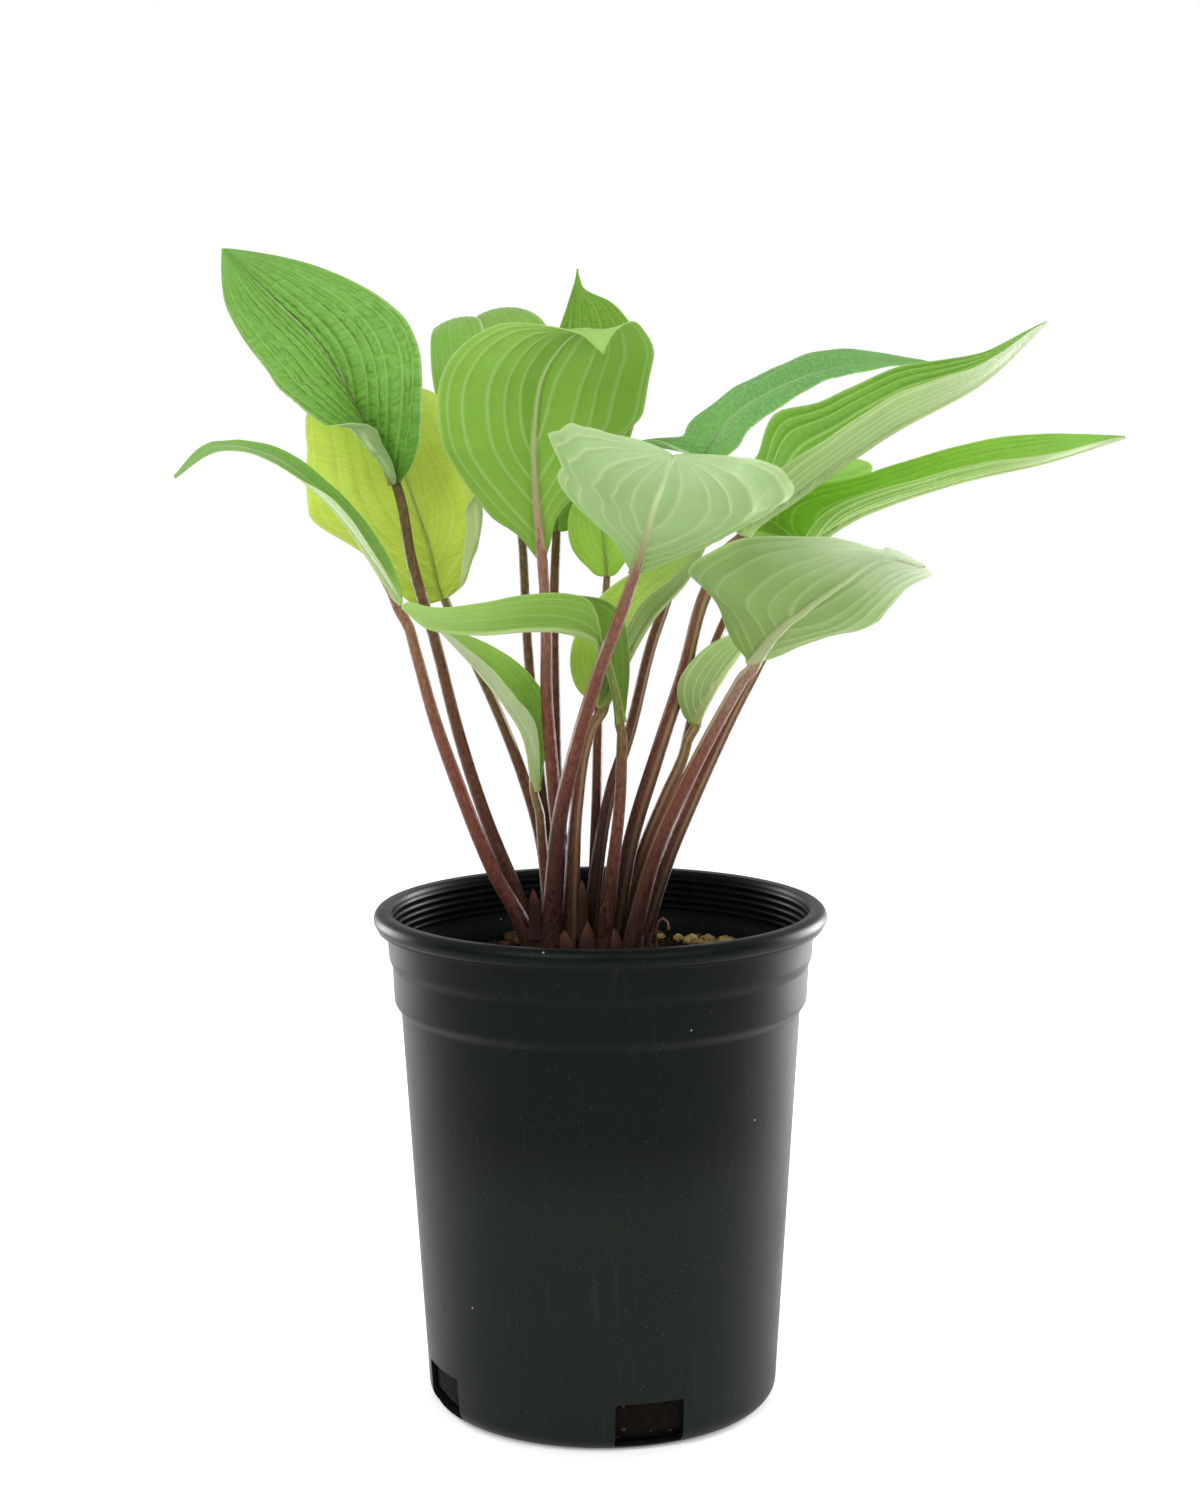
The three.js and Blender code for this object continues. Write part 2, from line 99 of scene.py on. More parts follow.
class Nodes:
    """A node tree at work. Its methods add a node and give back the output that is used."""

    def __init__(self, tree):
        self.tree = tree

    def feed(self, node, inputs):
        """Links or sets a node's inputs."""
        for key, value in inputs.items():
            if isinstance(value, bpy.types.NodeSocket):
                self.tree.links.new(value, node.inputs[key])
            else:
                node.inputs[key].default_value = value

    def add(self, kind, inputs=None, output=0, **settings):
        node = self.tree.nodes.new(kind)
        for key, value in settings.items():
            setattr(node, key, value)
        self.feed(node, inputs or {})
        return node.outputs[output]

    def math(self, operation, first, second=0.0, clamp=False):
        return self.add("ShaderNodeMath", {0: first, 1: second}, operation=operation, use_clamp=clamp)

    def times(self, first, second):
        return self.math("MULTIPLY", first, second)

    def ramp(self, value, low, high, start=0.0, end=1.0, smooth=False):
        """A value mapped from low..high to start..end, held at the ends."""
        ends = {"Value": value, "From Min": low, "From Max": high, "To Min": start, "To Max": end}
        return self.add("ShaderNodeMapRange", ends, interpolation_type="SMOOTHSTEP" if smooth else "LINEAR")

    def over(self, colour, paint, mask, share=None, mode="MIX"):
        """A colour with a paint over it where the mask is, at a share of the mask if one is given."""
        mask = mask if share is None else self.times(mask, share)
        mixed = {0: mask, 6: colour, 7: paint}
        return self.add("ShaderNodeMix", mixed, 2, data_type="RGBA", blend_type=mode)


class Look(Nodes):
    """A material at work, with its shader and the place on the object that its patterns read."""

    def __init__(self, name):
        self.material = bpy.data.materials.new(name)
        self.material.use_nodes = True
        super().__init__(self.material.node_tree)
        self.shader = self.tree.nodes["Principled BSDF"]
        self.place = self.add("ShaderNodeTexCoord", output="Object")

    def finished(self, inputs, height, distance, strength):
        """The material, its shader fed with the inputs and with the bump of a height map."""
        bump = {"Height": height, "Distance": distance, "Strength": strength}
        self.feed(self.shader, {**inputs, "Normal": self.add("ShaderNodeBump", bump, "Normal")})
        return self.material


def node_group(name, kind, inputs, outputs):
    """A node group with sockets of the given types: its nodes, its input sockets and its output node."""
    tree = bpy.data.node_groups.new(name, kind)
    for way, sockets in (("INPUT", inputs), ("OUTPUT", outputs)):
        for label, value in sockets.items():
            tree.interface.new_socket(label, in_out=way, socket_type="NodeSocket" + value)
    return Nodes(tree), tree.nodes.new("NodeGroupInput").outputs, tree.nodes.new("NodeGroupOutput")


# Soft clouds of tone at one size, from 0 to 1.
MOTTLE, given, result = node_group(
    "mottle", "ShaderNodeTree", {"Vector": "Vector", "Scale": "Float", "Contrast": "Float"},
    {"Mask": "Float"})
clouds = MOTTLE.add("ShaderNodeTexNoise", {"Vector": given["Vector"], "Scale": given["Scale"],
                                           "Detail": 4.0, "Roughness": 0.6}, "Fac")
spread = MOTTLE.times(MOTTLE.math("SUBTRACT", clouds, 0.5), given["Contrast"])
MOTTLE.feed(result, {"Mask": MOTTLE.math("ADD", spread, 0.5, clamp=True)})

# Sparse round specks: each cell of the pattern holds one, and only a share of the cells show it.
SPECKS, given, result = node_group(
    "specks", "ShaderNodeTree", {"Vector": "Vector", "Scale": "Float", "Size": "Float", "Share": "Float"},
    {"Mask": "Float"})
distance, lot = SPECKS.add("ShaderNodeTexVoronoi", {"Vector": given["Vector"], "Scale": given["Scale"]},
                           slice(0, 2))
inside = SPECKS.math("LESS_THAN", distance, given["Size"])
chosen = SPECKS.math("LESS_THAN", SPECKS.add("ShaderNodeSeparateColor", {"Color": lot}), given["Share"])
SPECKS.feed(result, {"Mask": SPECKS.times(inside, chosen)})


def mottle(look, scale, contrast, place=None):
    inputs = {"Vector": look.place if place is None else place, "Scale": scale, "Contrast": contrast}
    return look.add("ShaderNodeGroup", inputs, "Mask", node_tree=MOTTLE.tree)


def specks(look, scale, size, share):
    inputs = {"Vector": look.place, "Scale": scale, "Size": size, "Share": share}
    return look.add("ShaderNodeGroup", inputs, "Mask", node_tree=SPECKS.tree)


def finish_surface(mesh, sharp_degrees):
    """Turns faces outwards, shades them smooth and marks the sharp edges."""
    work = bmesh.new()
    work.from_mesh(mesh)
    bmesh.ops.recalc_face_normals(work, faces=work.faces)
    limit = math.radians(sharp_degrees)
    for face in work.faces:
        face.smooth = True
    for edge in work.edges:
        edge.smooth = len(edge.link_faces) == 2 and edge.calc_face_angle(0.0) < limit
    work.to_mesh(mesh)
    work.free()


def new_object(name, mesh):
    piece = bpy.data.objects.new(name, mesh)
    bpy.context.scene.collection.objects.link(piece)
    return piece


def mesh_piece(name, points_mm, faces, material, sharp_degrees=35.0, attributes=None):
    """A smooth-shaded piece from points in millimetres, with its corners over an angle kept sharp."""
    mesh = bpy.data.meshes.new(name)
    mesh.from_pydata([tuple(c * MM for c in point) for point in points_mm], [], faces)
    for label, (kind, values) in (attributes or {}).items():
        layer = mesh.attributes.new(label, kind, "POINT")
        field = "vector" if kind == "FLOAT_VECTOR" else "value"
        layer.data.foreach_set(field, np.asarray(values, dtype=np.float32).ravel())
    piece = new_object(name, mesh)
    mesh.materials.append(material)
    finish_surface(mesh, sharp_degrees)
    return piece


def rounded(section, radii, steps=4):
    """A section with some corners rounded: radii maps a corner's number to its radius."""
    out = []
    for number, corner in enumerate(section):
        radius = radii.get(number)
        if not radius:
            out.append(corner)
            continue
        here, before, after = Vector(corner), Vector(section[number - 1]), Vector(section[number + 1])
        start = here + (before - here).normalized() * radius
        end = here + (after - here).normalized() * radius
        for step in range(steps + 1):
            t = step / steps
            out.append(tuple((1 - t) ** 2 * start + 2 * t * (1 - t) * here + t * t * end))
    return out


def pot_section():
    """The pot's foot, wall, collar and rolled rim, and the ringed inside, as radius and height."""
    foot_flat = BODY_FOOT_RADIUS - FOOT_ROUND
    section = [(0, 0), (PAD_RADIUS, 0), (PAD_RADIUS + FOOT_SLOPE, FOOT_RISE),
               (FOOT_RING_RADIUS - FOOT_SLOPE, FOOT_RISE), (FOOT_RING_RADIUS, 0), (foot_flat, 0)]
    for turn in range(10, 91, 10):
        angle = math.radians(turn)
        section.append((foot_flat + FOOT_ROUND * math.sin(angle),
                        FOOT_ROUND - FOOT_ROUND * math.cos(angle)))
    corners = range(len(section), len(section) + 5)
    section += [(BODY_TOP_RADIUS, BAND_LOW), (BAND_RADIUS - DRAFT, BAND_LOW + BAND_SLOPE),
                (BAND_RADIUS, COLLAR_LOW), (COLLAR_RADIUS - DRAFT, COLLAR_LOW + COLLAR_SLOPE),
                (COLLAR_RADIUS, POT_HEIGHT - RIM_NECK),
                (RIM_RADIUS - RIM_UNDERSIDE[0], POT_HEIGHT - RIM_UNDERSIDE[1])]
    for turn in range(-50, 91, 14):
        angle = math.radians(turn)
        section.append((RIM_RADIUS - RIM_ROLL + RIM_ROLL * math.cos(angle),
                        POT_HEIGHT - RIM_ROLL + RIM_ROLL * math.sin(angle)))
    bore = COLLAR_RADIUS - WALL
    section += [(bore + out, POT_HEIGHT - down) for out, down in RIM_INSIDE]
    for ring in range(INNER_RINGS):
        height = POT_HEIGHT - INNER_RINGS_BELOW - ring * INNER_RING_PITCH
        for step in range(-2, 3):
            bulge = INNER_RING_HEIGHT * math.cos(step * math.pi / 4)
            section.append((bore - bulge, height - step * INNER_RING_PITCH / 6))
    band_bore = BAND_RADIUS - DRAFT - WALL
    section += [(bore - DRAFT, COLLAR_LOW + 1.4), (band_bore, COLLAR_LOW - STEP_SPREAD),
                (band_bore, BAND_LOW + STEP_SPREAD), (BODY_TOP_RADIUS - WALL, BAND_LOW - STEP_SPREAD),
                (BODY_FOOT_RADIUS - WALL + 0.4, FOOT_ROUND),
                (BODY_FOOT_RADIUS - FOOT_THICKNESS, WALL + FOOT_RISE), (0, WALL + FOOT_RISE)]
    return rounded(section, dict(zip(corners, (STEP_HOLLOW, STEP_ROUND) * 2 + (RIM_FILLET,))))


def ring_of(radius, height, sides):
    """The points of a level ring round the pot's axis."""
    angles = [2 * math.pi * side / sides for side in range(sides)]
    return [(radius * math.cos(angle), radius * math.sin(angle), height) for angle in angles]


def ringed_faces(rings, sides):
    """Faces of a closed body of level rings, with a point on the axis before and after them."""
    last = 1 + (rings - 1) * sides
    faces = []
    for side in range(sides):
        after = (side + 1) % sides
        faces.append((0, 1 + side, 1 + after))
        for near in range(1, last, sides):
            far = near + sides
            faces.append((near + side, far + side, far + after, near + after))
        faces.append((last + side, last + sides, last + after))
    return faces


def turned(section, sides):
    """Points and faces of a closed solid turned about Z; the section starts and ends on the axis."""
    points = [(0, 0, section[0][1])]
    for radius, height in section[1:-1]:
        points += ring_of(radius, height, sides)
    points.append((0, 0, section[-1][1]))
    return points, ringed_faces(len(section) - 2, sides)


def apply_modifier(piece, modifier):
    """Makes a modifier's result the piece's plain mesh."""
    evaluated = piece.evaluated_get(bpy.context.evaluated_depsgraph_get())
    mesh, old = bpy.data.meshes.new_from_object(evaluated), piece.data
    piece.modifiers.remove(modifier)
    piece.data = mesh
    bpy.data.meshes.remove(old)


def drain_cutter(angle):
    """A block with rounded edges that stands in the wall where a drain notch goes."""
    work = bmesh.new()
    bmesh.ops.create_cube(work, size=1.0)
    size = (HOLE_DEPTH * MM, HOLE_WIDTH * MM, (HOLE_TOP - HOLE_LOW) * MM)
    bmesh.ops.scale(work, vec=size, verts=work.verts)
    edges = [edge for edge in work.edges if abs((edge.verts[0].co - edge.verts[1].co).normalized().x) > 0.9]
    bmesh.ops.bevel(work, geom=edges, offset=HOLE_ROUND * MM, segments=3, affect="EDGES", profile=0.5)
    place = Matrix.Rotation(math.radians(angle), 4, "Z") @ Matrix.Translation(
        (BODY_FOOT_RADIUS * MM, 0, (HOLE_TOP + HOLE_LOW) / 2 * MM))
    bmesh.ops.transform(work, matrix=place, verts=work.verts)
    mesh = bpy.data.meshes.new("notch")
    work.to_mesh(mesh)
    work.free()
    return new_object("notch", mesh)


def pot_material():
    look = Look("pot_plastic_aged")
    height = look.add("ShaderNodeSeparateXYZ", {0: look.place}, "Z")
    cloud = mottle(look, 26.0, 2.2)
    # Painted reflection of the floor: the plastic is painted lighter and olive towards the foot.
    floor_reflection = look.ramp(height, FLOOR_REFLECTION_FROM * MM, FLOOR_REFLECTION_FULL * MM, smooth=True)
    colour = look.over(tone(3, 8, 8), tone(20, 26, 20), floor_reflection)
    colour = look.over(colour, tone(15, 24, 25), cloud, 0.2)
    upright = look.add("ShaderNodeMapping", {"Vector": look.place, "Scale": (420.0, 420.0, 26.0)})
    scuff = look.add("ShaderNodeTexNoise", {"Vector": upright, "Scale": 1.0, "Detail": 3.0}, "Fac")
    scuff = look.ramp(scuff, 0.6, 0.78, 0.0, 0.07)
    colour = look.over(colour, tone(96, 102, 98), scuff, cloud)
    colour = look.over(colour, tone(190, 190, 182), specks(look, 260.0, 0.1, 0.01), 0.55)
    colour = look.over(colour, tone(140, 142, 136), specks(look, 900.0, 0.2, 0.05), 0.14)
    rough = look.math("ADD", look.ramp(cloud, 0.0, 1.0, 0.34, 0.46), look.times(scuff, 0.3))
    return look.finished({"Base Color": colour, "Roughness": rough, "Specular IOR Level": 0.1},
                         mottle(look, 1500.0, 1.0), 0.00005, 0.5)


points, faces = turned(pot_section(), POT_SIDES)
pot = mesh_piece("nursery_pot", points, faces, pot_material())
for angle in HOLE_ANGLES:
    cutter = drain_cutter(angle)
    cut = pot.modifiers.new("cut", "BOOLEAN")
    cut.operation, cut.solver, cut.object = "DIFFERENCE", "EXACT", cutter
    apply_modifier(pot, cut)
    bpy.data.objects.remove(cutter)
finish_surface(pot.data, 32.0)
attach(pot, "root")
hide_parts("pot")


# The soil
# Damp potting mix of ground bark and peat that fills the pot to below its collar. Its surface
# is uneven and strewn with crumbs and bark chips, and it shows dark through the drain notches.

SOIL_TOP = 158
SOIL_GAP = 0.45
SOIL_SIDES = 120
SOIL_RINGS = 34
SOIL_RELIEF = 1.6
HEAP_SCALE, HEAP_SHARE, HEAP_SEED = 0.045, 0.8, 3.1
LUMP_SCALE, LUMP_SHARE, LUMP_SEED = 0.21, 0.45, 8.7
# The strewn bits lie on faces that look up at least this much; each is stretched between two
# sizes and tilted by up to an angle in radians. The densities are per square metre.
LOOKS_UP = 0.6
CRUMB_RADIUS = 0.5
CRUMB_STRETCH = (0.5, 0.5, 0.4), (2.4, 1.7, 1.4)
CRUMB_TILT = 0.6
CRUMB_DENSITY = 210000.0
CRUMB_SEED = 7
CHIP_SIZE = (5.2, 2.6, 0.9)
CHIP_STRETCH = (0.35, 0.4, 0.5), (1.5, 1.4, 1.8)
CHIP_TILT = 0.5
CHIP_DENSITY = 3600.0
CHIP_SEED = 21


def soil_height(x, y):
    """The height of the soil's surface, in millimetres, with broad heaps and small lumps."""
    broad = noise.noise(Vector((x * HEAP_SCALE, y * HEAP_SCALE, HEAP_SEED)))
    small = noise.noise(Vector((x * LUMP_SCALE, y * LUMP_SCALE, LUMP_SEED)))
    return SOIL_TOP + SOIL_RELIEF * (HEAP_SHARE * broad + LUMP_SHARE * small)


def soil_body():
    """Points and faces of the soil: a grid of rings on top and the inside of the pot below."""
    edge = BODY_TOP_RADIUS + STEP_SPREAD - SOIL_GAP
    points = [(0, 0, soil_height(0, 0))]
    for ring in range(1, SOIL_RINGS + 1):
        level = ring_of(edge * (ring / SOIL_RINGS) ** 0.9, 0, SOIL_SIDES)
        points += [(x, y, soil_height(x, y)) for x, y, _ in level]
    floor = WALL + FOOT_RISE + SOIL_GAP
    below = [(BAND_RADIUS - DRAFT - WALL - SOIL_GAP, BAND_LOW + STEP_SPREAD),
             (BODY_TOP_RADIUS - WALL - SOIL_GAP, BAND_LOW - STEP_SPREAD),
             (BODY_FOOT_RADIUS - WALL - 0.1, FOOT_ROUND + 1), (BODY_FOOT_RADIUS - 5, floor)]
    for radius, height in below:
        points += ring_of(radius, height, SOIL_SIDES)
    points.append((0, 0, floor))
    return points, ringed_faces(SOIL_RINGS + len(below), SOIL_SIDES)


def soil_material(name, dark, light, scale):
    look = Look(name)
    colour = look.over(dark, light, mottle(look, scale, 2.6))
    colour = look.over(colour, tone(96, 66, 44), specks(look, 420.0, 0.32, 0.12), 0.6)
    return look.finished({"Base Color": colour, "Roughness": 0.92, "Specular IOR Level": 0.08},
                         mottle(look, scale * 3.0, 2.0), 0.0012, 0.8)


def grown(piece, nodes, values):
    """The piece with the tree's result as its plain mesh. Inputs are set by their identifiers."""
    grower = piece.modifiers.new("grow", "NODES")
    grower.node_group = nodes.tree
    for item in nodes.tree.interface.items_tree:
        if item.item_type == "SOCKET" and item.in_out == "INPUT" and item.name in values:
            grower[item.identifier] = values[item.name]
    apply_modifier(piece, grower)
    return piece


def strewn_tree():
    """Scatters two kinds of bits over the faces that look up: round crumbs and flat chips."""
    sockets = {"Geometry": "Geometry"}
    for label in ("Crumb", "Chip"):
        sockets |= {label + " Density": "Float", label + " Seed": "Int", label + " Material": "Material"}
    nodes, given, result = node_group("strewn_soil", "GeometryNodeTree", sockets, {"Geometry": "Geometry"})
    up = nodes.add("ShaderNodeSeparateXYZ", {0: nodes.add("GeometryNodeInputNormal")}, "Z")
    facing_up = nodes.add("FunctionNodeCompare", {0: up, 1: LOOKS_UP}, operation="GREATER_THAN")
    crumb = nodes.add("GeometryNodeMeshIcoSphere", {"Radius": CRUMB_RADIUS * MM, "Subdivisions": 1}, "Mesh")
    chip = nodes.add("GeometryNodeMeshCube", {"Size": tuple(c * MM for c in CHIP_SIZE)}, "Mesh")
    parts = [given["Geometry"]]
    for shape, label, stretch, tilt in ((crumb, "Crumb", CRUMB_STRETCH, CRUMB_TILT),
                                        (chip, "Chip", CHIP_STRETCH, CHIP_TILT)):
        seed = given[label + " Seed"]
        spots = nodes.add("GeometryNodeDistributePointsOnFaces",
                          {"Mesh": given["Geometry"], "Selection": facing_up,
                           "Density": given[label + " Density"], "Seed": seed}, "Points")
        turn, size = [
            nodes.add("FunctionNodeRandomValue", {0: low, 1: high, "Seed": seed}, data_type="FLOAT_VECTOR")
            for low, high in (((-tilt, -tilt, -3.14), (tilt, tilt, 3.14)), stretch)]
        placed = nodes.add("GeometryNodeInstanceOnPoints",
                           {"Points": spots, "Instance": shape, "Rotation": turn, "Scale": size})
        real = nodes.add("GeometryNodeRealizeInstances", {0: placed})
        parts.append(nodes.add("GeometryNodeSetMaterial",
                               {"Geometry": real, "Material": given[label + " Material"]}))
    join = nodes.tree.nodes.new("GeometryNodeJoinGeometry")
    for part in parts:
        nodes.feed(join, {0: part})
    nodes.feed(result, {0: join.outputs[0]})
    return nodes


points, faces = soil_body()
soil_mix = soil_material("soil_mix", tone(5, 4, 4), tone(24, 17, 13), 260.0)
soil = grown(mesh_piece("potting_soil", points, faces, soil_mix, 60.0), strewn_tree(), {
    "Crumb Density": CRUMB_DENSITY, "Crumb Seed": CRUMB_SEED,
    "Chip Density": CHIP_DENSITY, "Chip Seed": CHIP_SEED,
    "Crumb Material": soil_material("bark_crumbs", tone(20, 15, 12), tone(52, 36, 27), 140.0),
    "Chip Material": soil_material("bark_chips", tone(40, 27, 19), tone(92, 66, 45), 190.0)})
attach(soil, "root")
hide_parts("soil")

# Tan lumps of clay and bits of bark that lie loose on top: their places, half sizes and turns,
# in millimetres and degrees.
CLAY_BITS = [
    (23, 60, (2.0, 1.5, 1.2), 20), (30, 56, (2.4, 1.9, 1.5), 70), (35, 53, (3.4, 2.6, 2.3), 10),
    (41, 50, (4.0, 3.0, 2.8), 45), (48, 45, (4.2, 3.3, 2.6), 100), (52, 38, (2.4, 2.0, 1.6), 30),
]
BARK_BITS = [
    (-33, 56, (8.0, 2.6, 2.6), 118), (-28, 50, (6.0, 1.8, 2.0), 60), (-38, 48, (4.0, 1.6, 1.6), 20),
    (22, 66, (3.6, 1.4, 1.4), 150), (38, 60, (2.6, 1.4, 1.2), 80),
]
BIT_ROUGHNESS = 0.3
BIT_LUMPS = 1.7
BIT_SITS = 0.7


def loose_bits(name, bits, dark, light, scale):
    """Lumpy pebbles of the given sizes that rest on the soil."""
    points, faces = [], []
    for x, y, half_size, turn in bits:
        work = bmesh.new()
        bmesh.ops.create_icosphere(work, subdivisions=3, radius=1.0)
        spin = Matrix.Rotation(math.radians(turn), 3, "Z")
        first = len(points)
        for vert in work.verts:
            swell = 1 + BIT_ROUGHNESS * noise.noise(vert.co * BIT_LUMPS + Vector((x, y, 0)))
            point = spin @ Vector([c * h * swell for c, h in zip(vert.co, half_size)])
            rest = soil_height(x, y) + BIT_SITS * half_size[2]
            points.append((x + point.x, y + point.y, rest + point.z))
        faces += [[first + vert.index for vert in face.verts] for face in work.faces]
        work.free()
    piece = mesh_piece(name, points, faces, soil_material(name, dark, light, scale), 60.0)
    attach(piece, "root")


loose_bits("clay_lumps", CLAY_BITS, tone(112, 82, 50), tone(208, 186, 124), 300.0)
loose_bits("loose_bark", BARK_BITS, tone(26, 18, 14), tone(92, 66, 46), 160.0)


# The leaf stalks
# Seventeen smooth, juicy stalks that rise from the crown in the soil. Each is red-brown with
# fine specks, greener towards its blade, and has a shallow channel along its upper side that
# opens into the blade. The stalk goes on under the blade as the foot of its rib.

